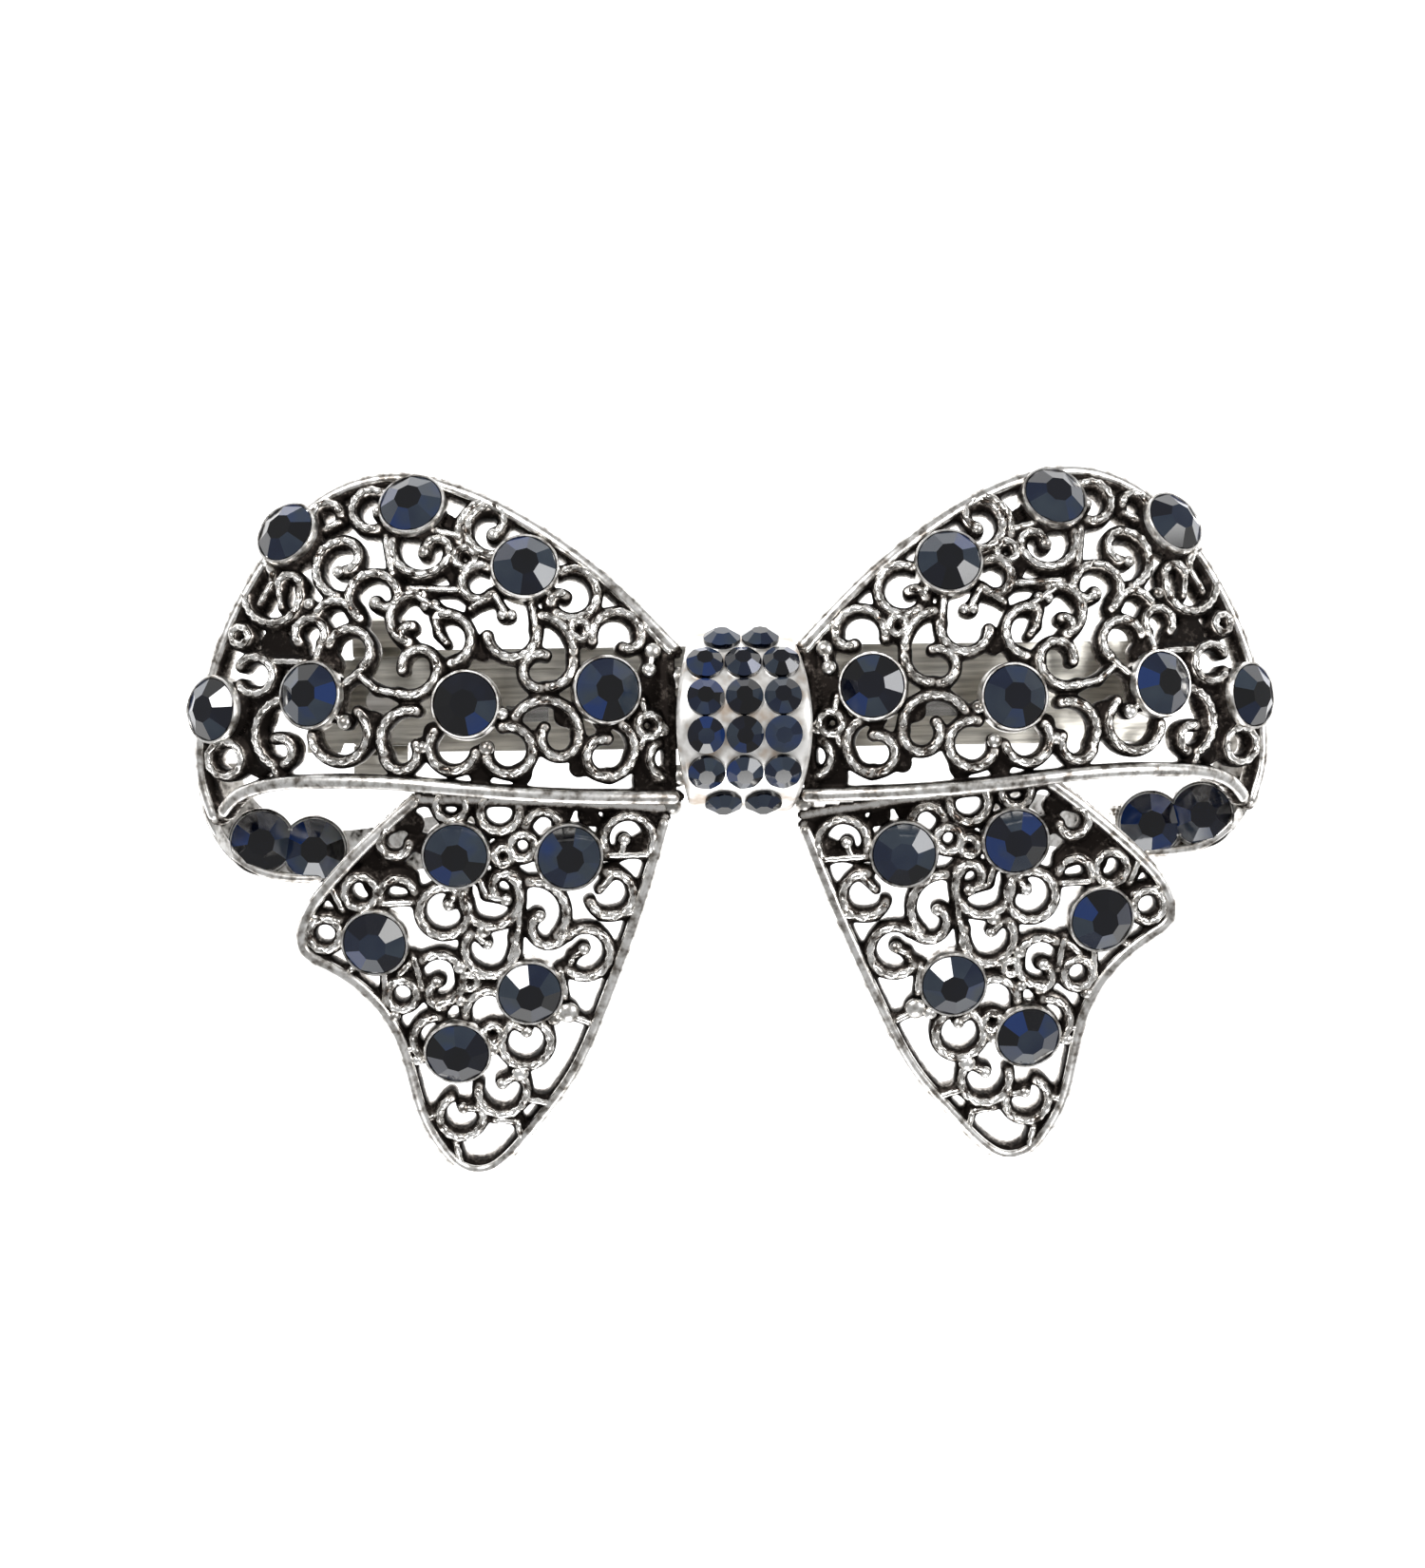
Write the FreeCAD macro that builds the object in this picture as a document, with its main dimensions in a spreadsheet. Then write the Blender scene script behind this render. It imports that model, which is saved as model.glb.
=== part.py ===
"""Openwork bow set with rhinestones, mounted on a spring barrette (French clip).

Frame: millimetres. The bow lies on its back: +X runs along the clip to its hinge, +Y to the top of the
bow and +Z out of its front. The origin is the bottom centre of the bounding box.
Panels are modelled about the knot's centre and moved by knot_y when they are placed.
"""
import FreeCAD, Part
import Sketcher
import math
import os

V = FreeCAD.Vector
doc = FreeCAD.newDocument("bow_barrette")

# ---------------------------------------------------------------- driving dimensions
SIZES = {
    "knot_y": 7.9,            # knot centre from the frame's origin
    "dome_radius": 38.0,      # loop panels are pieces of a spherical shell
    "dome_x": 17.0,
    "dome_y": -1.0,
    "dome_top": 16.0,
    "tail_radius": 72.0,      # tail panels are pieces of a flatter one
    "tail_x": 18.0,
    "tail_y": 1.5,
    "tail_top": 12.7,
    "tail_turn": 2.1,         # both tails sit slightly turned, degrees
    "shell": 1.5,             # casting thickness
    "wire": 1.0,              # width of a scroll
    "rim": 1.15,              # width of a panel's border
    "stone": 2.5,             # radius of the large stones
    "stone_girdle": 0.9,
    "stone_crown": 1.05,
    "small_stone": 1.5,       # radius of the knot's stones
    "small_girdle": 0.55,
    "small_crown": 0.65,
    "cup_wall": 0.27,
    "cup_rise": 0.5,          # cup's edge above the casting
    "seat_depth": 0.5,        # seat floor below the casting's surface
    "seat_gap": 0.04,
    "knot_radius": 7.35,
    "knot_z": 10.8,           # height of the knot's own axis
    "knot_width": 10.9,
    "knot_end_width": 7.8,
    "knot_wall": 1.1,
    "clip_y": 2.4,            # clip's centre line from the knot's centre
    "base_radius": 125.0,
    "base_top": 10.4,
    "base_length": 70.0,
    "base_width": 8.3,
    "base_plate": 0.6,
    "base_flange": 0.8,
    "base_rib": 0.3,
    "leaf_width": 5.2,
    "leaf_plate": 0.4,
    "arm_width": 6.6,
    "arm_plate": 0.7,
    "rivet": 0.7,             # hinge rivet's radius
    "rivet_x": 34.0,
    "rivet_z": 2.6,
    "rivet_gap": 0.05,        # running clearance on the rivet
    "lug": 1.4,
    "ear_x": -31.2,
    "ear_length": 4.4,
    "ear_plate": 0.5,
}
sheet = doc.addObject("Spreadsheet::Sheet", "Sizes")
for row, (alias, value) in enumerate(SIZES.items(), start=1):
    sheet.set(f"A{row}", alias)
    sheet.set(f"B{row}", str(value))
    sheet.setAlias(f"B{row}", alias)
doc.recompute()


def size(alias):
    return float(getattr(sheet, alias))


def bind(obj, prop, expression):
    for alias in sorted(SIZES, key=len, reverse=True):
        expression = expression.replace("<" + alias + ">", "Sizes." + alias)
    obj.setExpression(prop, expression)


# ---------------------------------------------------------------- scrollwork, right-hand side
# Every scroll is an arc: centre x, y, radius, start and end angle. The left side mirrors it.
LOOP_SCROLLS = [
    # crown of the loop
    (29.4, 18.0, 1.6, -105, 120), (28.8, 18.7, 0.8, 110, 270), (33.1, 17.6, 1.1, -20, 170),
    (31.7, 13.2, 2.3, -75, 85), (31.7, 14.3, 1.2, 85, 260), (25.4, 15.0, 2.4, -165, 10),
    (24.1, 14.5, 1.0, 0, 190), (19.7, 16.1, 2.0, -110, 85), (19.8, 17.0, 1.1, 85, 255),
    (19.6, 15.8, 2.8, -10, 80), (21.9, 13.9, 0.8, -180, 180), (20.8, 11.9, 1.4, -120, 120),
    # outer shoulder
    (37.6, 11.2, 2.3, 170, 370), (36.2, 11.9, 0.9, -5, 170), (38.8, 12.7, 1.2, 0, 190),
    (40.3, 7.9, 0.7, -180, 180), (39.1, 4.7, 1.5, 30, 330), (34.5, 8.0, 1.2, -35, 220),
    (32.4, 8.9, 1.7, 20, 160), (31.3, 6.6, 1.7, 15, 230),
    # middle
    (29.3, 10.8, 2.0, -55, 165), (28.3, 11.0, 1.0, 165, 330), (26.0, 9.1, 2.0, -75, 110),
    (26.4, 7.8, 0.7, -75, 105), (23.5, 7.4, 2.0, 70, 260), (25.7, 5.2, 1.4, -10, 180),
    (26.6, 5.3, 2.4, -180, -70), (18.2, 7.8, 2.0, 170, 355), (16.3, 6.2, 3.0, 100, 180),
    (15.4, 5.5, 2.1, -180, -90), (16.0, 4.7, 1.4, -90, 110),
    # towards the knot
    (13.3, 10.9, 2.0, 65, 310), (14.3, 10.1, 0.8, 10, 130), (12.8, 8.0, 0.7, -180, 180),
    (9.8, 7.4, 2.0, -10, 175), (8.8, 7.4, 1.0, 175, 300),
    (7.3, 0.2, 0.9, -180, 180), (5.8, -2.5, 1.5, -80, 60),
    # lower row, from the fold to the knot
    (41.7, -2.1, 1.4, -180, 180), (36.2, -0.1, 2.9, -60, 80), (37.2, -1.5, 1.1, 70, 250),
    (32.2, -0.1, 2.3, 130, 355), (26.6, -0.6, 2.3, -30, 105), (27.3, -1.7, 1.4, 155, 335),
    (23.1, -1.3, 1.9, -165, 40), (18.6, -1.6, 1.9, 75, 340), (15.7, -0.3, 2.7, 30, 180),
    (14.5, -0.7, 1.5, -180, 35), (10.8, -1.6, 2.3, 125, 260), (10.9, -2.3, 1.5, -100, 100),
]
# A strut is a short straight bar between two points.
LOOP_STRUTS = [
    (27.4, 3.0, 29.2, 3.4), (29.2, 3.4, 30.5, 4.5), (30.1, 5.2, 31.9, 3.8), (33.6, 7.2, 34.1, 5.9),
    (37.1, 11.8, 36.9, 10.2), (37.5, 12.5, 38.7, 10.5), (16.3, 8.1, 16.6, 10.3), (21.5, 9.8, 19.7, 11.1),
    (37.7, -2.6, 37.4, -3.4), (6.5, 0.7, 5.7, -0.3), (5.7, -0.3, 6.6, -0.5), (7.6, 1.1, 7.8, 2.3),
    (7.7, -0.6, 8.0, -1.6), (24.4, 9.1, 24.1, 7.9), (24.1, 7.9, 23.5, 7.1), (24.4, 16.2, 22.3, 15.7),
    (26.5, 11.5, 22.3, 11.3), (37.6, 5.8, 35.0, 5.7), (28.3, 15.8, 27.8, 12.8), (33.3, 16.5, 32.1, 17.1),
    (7.6, 8.3, 5.4, 5.9), (31.8, 0.8, 33.0, 1.7), (7.2, 4.7, 6.9, 6.2), (18.6, 9.2, 19.7, 11.1),
    (26.0, 11.0, 23.4, 9.4), (14.9, 10.6, 15.8, 11.5), (19.1, 1.3, 20.0, 1.6),
]
# Round grains and scroll ends: x, y, radius.
LOOP_GRAINS = [
    (28.9, 17.9, 0.5), (32.2, 13.0, 0.5), (29.2, 10.4, 0.5), (25.2, 14.5, 0.5), (19.6, 15.8, 0.5),
    (25.5, -1.3, 0.5), (6.9, 6.2, 0.7), (7.2, 4.7, 0.6), (34.6, 10.4, 0.5), (25.2, 10.1, 0.4),
    (24.4, 10.2, 0.4), (19.0, 9.3, 0.4), (18.2, 9.3, 0.4), (31.8, 0.8, 0.6), (20.4, -1.4, 0.6),
    (19.1, 1.3, 0.5),
]
LOOP_STONES = [(26.1, 18.2), (36.3, 16.1), (17.1, 13.0), (10.7, 3.1), (22.0, 2.1), (34.4, 3.0), (42.5, 1.9)]
# Borders are smooth curves through the middle of the border.
LOOP_CREST = [(4.9, 6.2), (10.3, 11.7), (16.9, 16.7), (22.7, 19.6), (28.4, 20.6), (33.2, 19.1), (38.0, 14.4),
              (41.8, 7.5), (43.6, 0.9), (43.7, -3.8), (42.7, -7.1)]
LOOP_HEM = [(42.2, -6.7), (41.0, -5.3), (38.8, -4.4), (34.3, -4.0), (28.9, -4.1), (21.4, -4.8), (13.8, -5.4),
            (4.9, -5.6)]

TAIL_SCROLLS = [
    # beside the knot and down the inner edge
    (8.7, -9.3, 2.0, -20, 220), (10.3, -13.7, 1.8, 80, 340), (12.6, -18.4, 2.0, 50, 320),
    (15.6, -8.0, 1.4, 10, 170), (17.3, -9.4, 1.0, -180, 180), (18.9, -10.1, 0.7, -180, 180),
    (19.0, -6.5, 1.6, 170, 420), (22.9, -5.8, 1.2, -180, 180), (27.6, -8.5, 1.2, -170, 80),
    # middle
    (16.7, -15.0, 2.7, 85, 225), (15.5, -16.2, 1.4, -165, 50), (20.0, -13.5, 2.3, 120, 380),
    (18.8, -12.6, 1.1, -40, 150), (23.9, -14.4, 2.0, 140, 490), (20.3, -17.7, 2.1, 160, 400),
    (22.1, -20.2, 0.6, -180, 180), (24.6, -19.9, 2.0, 50, 280), (24.4, -21.2, 1.1, -90, 80),
    # outer point
    (33.7, -15.8, 1.3, -180, 180), (30.6, -12.5, 1.3, -180, 180), (27.6, -12.9, 1.4, -10, 170),
    (27.7, -21.1, 1.2, -180, 180),
    # lower end
    (25.1, -25.0, 1.9, -50, 100), (20.7, -23.0, 1.9, -5, 120), (20.5, -24.7, 0.7, -180, 180),
    (17.8, -25.6, 2.0, 120, 425), (19.9, -29.6, 2.0, 130, 375), (23.4, -31.6, 1.8, 150, 425),
]
TAIL_STRUTS = [
    (9.4, -10.6, 9.0, -9.4), (10.6, -10.5, 6.9, -10.6), (9.9, -11.9, 11.2, -13.3), (10.8, -15.3, 8.4, -15.3),
    (13.9, -19.3, 13.6, -18.7), (13.6, -18.7, 12.7, -18.1), (17.7, -12.0, 17.9, -16.0),
    (17.9, -16.0, 18.8, -18.9), (20.9, -11.9, 20.4, -13.3), (20.4, -13.3, 18.8, -13.7),
    (23.0, -13.1, 23.4, -13.8), (21.5, -16.4, 20.7, -17.2), (26.6, -17.9, 26.0, -20.7),
    (18.8, -24.0, 17.9, -24.5), (19.0, -28.5, 19.9, -29.0), (22.0, -31.0, 23.2, -30.9),
    (20.7, -32.1, 18.8, -32.3), (18.8, -32.3, 18.5, -34.0), (24.0, -33.9, 23.6, -35.8),
    (25.5, -31.4, 26.4, -31.9), (18.0, -30.4, 16.0, -30.9), (33.2, -11.5, 32.1, -13.9),
    (34.8, -14.3, 32.3, -14.8), (29.0, -13.5, 26.3, -13.5), (31.4, -18.6, 32.0, -19.0),
    (29.0, -19.0, 29.1, -21.8), (22.7, -19.7, 19.6, -20.0), (14.7, -19.6, 14.4, -22.0),
    (27.9, -19.5, 26.8, -18.4), (13.9, -23.6, 12.4, -24.3), (26.8, -25.6, 28.0, -25.8),
]
TAIL_GRAINS = [
    (9.0, -9.3, 0.5), (12.7, -18.1, 0.5), (16.2, -15.2, 0.5), (18.8, -13.7, 0.5), (23.5, -13.9, 0.5),
    (20.5, -17.3, 0.4), (24.8, -20.2, 0.5), (17.7, -24.7, 0.5), (19.9, -29.0, 0.5), (23.2, -30.9, 0.5),
    (14.2, -23.3, 0.9), (28.4, -22.8, 0.5), (22.8, -19.0, 0.6), (22.9, -21.8, 0.5), (20.6, -26.0, 0.6),
    (18.4, -28.2, 0.7), (15.4, -23.7, 0.6), (26.7, -26.6, 0.5), (20.8, -16.1, 0.6),
]
TAIL_STONES = [(22.7, -9.8), (13.6, -10.4), (29.6, -16.6), (17.3, -21.3), (23.4, -26.0)]
TAIL_EDGE = [(25.5, -5.0), (29.6, -8.4), (33.4, -12.1), (35.4, -15.2), (35.5, -16.9), (33.8, -18.3),
             (30.4, -20.9), (28.2, -24.4), (27.2, -28.4), (26.4, -31.7), (25.0, -34.4), (23.3, -36.1),
             (21.5, -36.3), (19.7, -35.2), (17.1, -32.3), (14.2, -28.6), (12.1, -24.6), (10.3, -20.4),
             (7.6, -13.5), (5.6, -7.7)]
TAIL_TOP = [(25.5, -5.2), (15.0, -5.9), (5.6, -6.9)]
BAND_STONES = [(39.0, -8.5), (34.7, -9.2)]


# ---------------------------------------------------------------- flat pattern pieces
def polar(cx, cy, radius, degrees):
    angle = math.radians(degrees)
    return V(cx + radius * math.cos(angle), cy + radius * math.sin(angle), 0)


def disc(cx, cy, radius):
    return Part.Face(Part.Wire(Part.makeCircle(radius, V(cx, cy, 0))))


def arc_stroke(cx, cy, radius, start, end, width):
    """Round-ended band of one width along an arc."""
    half = width / 2
    outer = radius + half
    inner = radius - half
    if end - start >= 359:
        ring = disc(cx, cy, outer)
        return ring.cut(disc(cx, cy, inner)) if inner > 0.1 else ring
    if inner < 0.1:
        inner = 0.1
        half = (outer - inner) / 2
        radius = inner + half
    middle = (start + end) / 2
    edges = [
        Part.Arc(polar(cx, cy, outer, start), polar(cx, cy, outer, middle), polar(cx, cy, outer, end)),
        end_cap(cx, cy, radius, half, end, 1),
        Part.Arc(polar(cx, cy, inner, end), polar(cx, cy, inner, middle), polar(cx, cy, inner, start)),
        end_cap(cx, cy, radius, half, start, -1),
    ]
    return Part.Face(Part.Wire([edge.toShape() for edge in edges]))


def end_cap(cx, cy, radius, half, degrees, way):
    tip = polar(cx, cy, radius, degrees) + polar(0, 0, half, degrees + 90 * way)
    first = polar(cx, cy, radius + half * way, degrees)
    last = polar(cx, cy, radius - half * way, degrees)
    return Part.Arc(first, tip, last)


def bar_stroke(ax, ay, bx, by, width):
    """Round-ended straight bar."""
    half = width / 2
    along = V(bx - ax, by - ay, 0)
    along.normalize()
    side = V(-along.y, along.x, 0) * half
    a = V(ax, ay, 0)
    b = V(bx, by, 0)
    edges = [
        Part.LineSegment(a - side, b - side),
        Part.Arc(b - side, b + along * half, b + side),
        Part.LineSegment(b + side, a + side),
        Part.Arc(a + side, a - along * half, a - side),
    ]
    return Part.Face(Part.Wire([edge.toShape() for edge in edges]))


def ribbon(points, width, samples=48):
    """Band of one width along a smooth curve."""
    middle = Part.BSplineCurve()
    middle.interpolate([V(x, y, 0) for x, y in points])
    first, last = middle.FirstParameter, middle.LastParameter
    edges = []
    for shift in (-width / 2, width / 2):
        moved = []
        for step in range(samples + 1):
            at = first + (last - first) * step / samples
            along = middle.tangent(at)[0]
            moved.append(middle.value(at) + V(-along.y, along.x, 0) * shift)
        edge = Part.BSplineCurve()
        edge.interpolate(moved)
        edges.append(edge)
    low, high = edges
    ends = [Part.LineSegment(low.value(low.FirstParameter), high.value(high.FirstParameter)),
            Part.LineSegment(low.value(low.LastParameter), high.value(high.LastParameter))]
    chain = Part.sortEdges([curve.toShape() for curve in edges + ends])[0]
    return Part.Face(Part.Wire(chain))


def flat_pattern(name, scrolls, struts, grains, borders):
    """One flat face: the union of a panel's scrolls, struts, grains and borders."""
    wire = size("wire")
    faces = [arc_stroke(*scroll, wire) for scroll in scrolls]
    faces += [bar_stroke(*strut, wire) for strut in struts]
    faces += [disc(*grain) for grain in grains]
    faces += borders
    feature = doc.addObject("Part::Feature", name)
    feature.Shape = outline_face(faces[0].multiFuse(faces[1:]))
    return feature


def outline_face(joined):
    """One face with holes from a set of touching flat faces: edges that two faces share are dropped."""
    uses = {}
    for face in joined.Faces:
        for edge in face.Edges:
            key = edge.hashCode()
            uses.setdefault(key, []).append(edge)
    free = [edges[0] for edges in uses.values() if len(edges) == 1]
    wires = [Part.Wire(chain) for chain in Part.sortEdges(free)]
    return Part.makeFace(wires, "Part::FaceMakerBullseye")


# ---------------------------------------------------------------- curved panels
def shell_point(kind, x, y):
    """Point on the outer surface of a panel's shell and the outward normal there."""
    radius = size(kind + "_radius")
    centre = V(size(kind + "_x"), size(kind + "_y"), size(kind + "_top") - radius)
    dx = x - centre.x
    dy = y - centre.y
    rise = math.sqrt(radius ** 2 - dx ** 2 - dy ** 2)
    point = V(x, y, centre.z + rise)
    normal = (point - centre) / radius
    return point, normal


def shell(kind):
    """Spherical shell that gives a panel its dome and its thickness."""
    parts = []
    for layer, inset in (("outer", "0"), ("inner", "<shell>")):
        ball = doc.addObject("Part::Sphere", f"{kind}_{layer}_ball")
        bind(ball, "Radius", f"<{kind}_radius> - {inset}")
        bind(ball, "Placement.Base.x", f"<{kind}_x>")
        bind(ball, "Placement.Base.y", f"<{kind}_y>")
        bind(ball, "Placement.Base.z", f"<{kind}_top> - <{kind}_radius>")
        parts.append(ball)
    cut = doc.addObject("Part::Cut", f"{kind}_shell")
    cut.Base, cut.Tool = parts
    return cut


def cylinder_along(name, point, normal, radius, low, high):
    """Cylinder about a panel's normal, between two heights above its surface."""
    rod = doc.addObject("Part::Cylinder", name)
    bind(rod, "Radius", radius)
    bind(rod, "Height", f"({high}) - ({low})")
    below = sheet_value(low)
    rod.Placement = FreeCAD.Placement(point + normal * below, FreeCAD.Rotation(V(0, 0, 1), normal))
    return rod


def sheet_value(expression):
    for alias in sorted(SIZES, key=len, reverse=True):
        expression = expression.replace("<" + alias + ">", str(size(alias)))
    total = 0.0
    for term in expression.replace("- ", "-").replace("+ ", "").split():
        total += float(term)
    return total


def cupped_panel(kind, pattern, stones):
    """Pattern pushed through the dome, with a cup and a seat for every stone."""
    prism = doc.addObject("Part::Extrusion", f"{kind}_prism")
    prism.Base = pattern
    prism.DirMode = "Custom"
    prism.Dir = V(0, 0, 1)
    prism.LengthFwd = 20
    prism.LengthRev = 5
    prism.Solid = True
    domed = doc.addObject("Part::Common", f"{kind}_domed")
    domed.Base = prism
    domed.Tool = shell(kind)
    blank = domed
    seats = []
    for number, (x, y) in enumerate(stones, start=1):
        point, normal = shell_point(kind, x, y)
        cup = cylinder_along(f"{kind}_cup_{number}", point, normal,
                             "<stone> + <cup_wall>", "-<shell>", "<cup_rise>")
        joined = doc.addObject("Part::Fuse", f"{kind}_with_cup_{number}")
        joined.Base = blank
        joined.Tool = cup
        blank = joined
        seats.append(cylinder_along(f"{kind}_seat_{number}", point, normal,
                                    "<stone> + <seat_gap>", "-<seat_depth>", "5"))
    drills = doc.addObject("Part::MultiFuse", f"{kind}_seats")
    drills.Shapes = seats
    panel = doc.addObject("Part::Cut", f"{kind}_right")
    panel.Base = blank
    panel.Tool = drills
    return panel


PLACES = {}


def sub_part(feature, label, place=None):
    """Give a finished piece its label and remember where it goes."""
    feature.Label = label
    PLACES[label] = (feature, place or FreeCAD.Placement(V(0, size("knot_y"), 0), FreeCAD.Rotation()))


def left_and_right(feature, name, place_right=None, place_left=None):
    """Two sub-parts from one unplaced right-hand shape: the shape itself and its mirror image."""
    right = doc.addObject("Part::Compound", name + "_right_half")
    right.Links = [feature]
    left = doc.addObject("Part::Mirroring", name + "_left_half")
    left.Source = feature
    left.Normal = V(1, 0, 0)
    left.Base = V(0, 0, 0)
    sub_part(right, "right_" + name, place_right)
    sub_part(left, "left_" + name, place_left)


def tail_place(side):
    """Tails are turned about a point under the knot's foot."""
    turn = FreeCAD.Rotation(V(0, 0, 1), size("tail_turn"))
    pivot = V(side * 16, -8, 0)
    return FreeCAD.Placement(pivot - turn.multVec(pivot) + V(-0.35, size("knot_y"), 0), turn)


def band_place(side):
    """The left band hangs a little lower than the right one, and both sit just under the loops."""
    return FreeCAD.Placement(V(0, size("knot_y") + 0.55 * side, -0.13), FreeCAD.Rotation())


def knot_place():
    """The band sits slightly up and to the hinge side of the loops' centre."""
    return FreeCAD.Placement(V(0.2, size("knot_y") + 0.35, 0), FreeCAD.Rotation())


TABLE_SHARE = 0.46     # table corner's reach as a share of the stone's radius
CROWN_SHARE = 1.01     # crown facets start just outside the girdle, so it stays round


def crystal(radius, girdle, crown):
    """Flat-backed stone: round girdle, eight crown facets and an octagonal table."""
    table = radius * TABLE_SHARE
    apothem = radius * CROWN_SHARE
    corner = apothem / math.cos(math.pi / 8)
    rings = []
    for size_of, height in ((corner, girdle), (table, girdle + crown)):
        angles = [math.radians(22.5 + 45 * k) for k in range(9)]
        points = [V(size_of * math.cos(a), size_of * math.sin(a), height) for a in angles]
        rings.append(Part.makePolygon(points))
    top = Part.makeLoft(rings, True, True)
    body = Part.makeCylinder(radius, girdle + crown)
    return body.common(top).fuse(Part.makeCylinder(radius, girdle)).removeSplitter()


def stone_group(name, kind, stones, solid):
    """Stones seated in a panel's cups, each along the panel's normal."""
    placed = []
    for number, (x, y) in enumerate(stones):
        point, normal = shell_point(kind, x, y)
        turn = FreeCAD.Rotation(V(0, 0, 1), normal) * FreeCAD.Rotation(V(0, 0, 1), 17 * number)
        stone = solid.copy()
        stone.Placement = FreeCAD.Placement(point - normal * size("seat_depth"), turn)
        placed.append(stone)
    feature = doc.addObject("Part::Feature", name)
    feature.Shape = Part.makeCompound(placed)
    return feature


def build_loops():
    borders = [ribbon(LOOP_CREST, size("rim")), ribbon(LOOP_HEM, size("rim")),
               bar_stroke(5.5, 5.8, 5.5, -5.0, size("rim")), bar_stroke(42.6, -6.7, 42.2, -6.5, size("rim"))]
    pattern = flat_pattern("loop_pattern", LOOP_SCROLLS, LOOP_STRUTS, LOOP_GRAINS, borders)
    right = cupped_panel("dome", pattern, LOOP_STONES)
    left_and_right(right, "loop")


def build_tails():
    borders = [ribbon(TAIL_EDGE, size("rim")), ribbon(TAIL_TOP, size("rim"))]
    pattern = flat_pattern("tail_pattern", TAIL_SCROLLS, TAIL_STRUTS, TAIL_GRAINS, borders)
    right = cupped_panel("tail", pattern, TAIL_STONES)
    left_and_right(right, "tail", tail_place(1), tail_place(-1))


def build_panel_stones():
    solid = crystal(size("stone"), size("stone_girdle"), size("stone_crown"))
    loop = stone_group("loop_stones", "dome", LOOP_STONES, solid)
    left_and_right(loop, "loop_crystals")
    tail = stone_group("tail_stones", "tail", TAIL_STONES, solid)
    left_and_right(tail, "tail_crystals", tail_place(1), tail_place(-1))


# ---------------------------------------------------------------- sketch-built pieces
def new_body(name):
    return doc.addObject("PartDesign::Body", name)


def sketch_on(body, role, name, offset=0.0):
    plane = [item for item in body.Origin.OriginFeatures if item.Role == role][0]
    sketch = body.newObject("Sketcher::SketchObject", name)
    sketch.AttachmentSupport = [(plane, "")]
    sketch.MapMode = "FlatFace"
    sketch.AttachmentOffset = FreeCAD.Placement(V(0, 0, offset), FreeCAD.Rotation())
    return sketch


def closed_lines(sketch, points):
    """Closed outline of straight lines, its corners made coincident."""
    first = sketch.GeometryCount
    corners = [V(x, y, 0) for x, y in points]
    for start, end in zip(corners, corners[1:] + corners[:1]):
        sketch.addGeometry(Part.LineSegment(start, end), False)
    count = len(corners)
    for k in range(count):
        sketch.addConstraint(Sketcher.Constraint("Coincident", first + k, 2, first + (k + 1) % count, 1))


def arc_strip(sketch, centre_x, centre_z, inner, outer, x_low, x_high):
    """Outline between two concentric arcs above their centre, cut at two stations along X."""
    low = math.acos((x_low - centre_x) / outer)
    high = math.acos((x_high - centre_x) / outer)
    centre = V(centre_x, centre_z, 0)
    arcs = [Part.ArcOfCircle(Part.Circle(centre, V(0, 0, 1), radius), high, low) for radius in (inner, outer)]
    first = sketch.GeometryCount
    for arc in arcs:
        sketch.addGeometry(arc, False)
    for tip in (1, 2):
        ends = [arc.StartPoint if tip == 1 else arc.EndPoint for arc in arcs]
        line = sketch.addGeometry(Part.LineSegment(*ends), False)
        sketch.addConstraint(Sketcher.Constraint("Coincident", first, tip, line, 1))
        sketch.addConstraint(Sketcher.Constraint("Coincident", first + 1, tip, line, 2))


def circle_in(sketch, x, y, radius_expression):
    index = sketch.addGeometry(Part.Circle(V(x, y, 0), V(0, 0, 1), sheet_value(radius_expression)), False)
    radius = sketch.addConstraint(Sketcher.Constraint("Radius", index, sheet_value(radius_expression)))
    bind(sketch, f"Constraints[{radius}]", radius_expression)


def pad(body, sketch, length, symmetric=True, back=False):
    feature = body.newObject("PartDesign::Pad", sketch.Name + "_pad")
    feature.Profile = sketch
    feature.SideType = "Symmetric" if symmetric else "One side"
    feature.Reversed = back
    bind(feature, "Length", length)
    return feature


def pocket(body, sketch, length=None, symmetric=True, back=False):
    feature = body.newObject("PartDesign::Pocket", sketch.Name + "_cut")
    feature.Profile = sketch
    feature.SideType = "Symmetric" if symmetric else "One side"
    feature.Reversed = back
    if length is None:
        feature.Type = "ThroughAll"
    else:
        bind(feature, "Length", length)
    return feature


def arch_height(centre_z, radius, x, centre_x=0.0):
    return centre_z + math.sqrt(radius ** 2 - (x - centre_x) ** 2)


def clip_place():
    return FreeCAD.Placement(V(0, size("knot_y") + size("clip_y"), 0), FreeCAD.Rotation())


BASE_CENTRE_Z = size("base_top") - size("base_radius")
CLASP_X = size("ear_x") + size("ear_length") / 2


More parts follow.
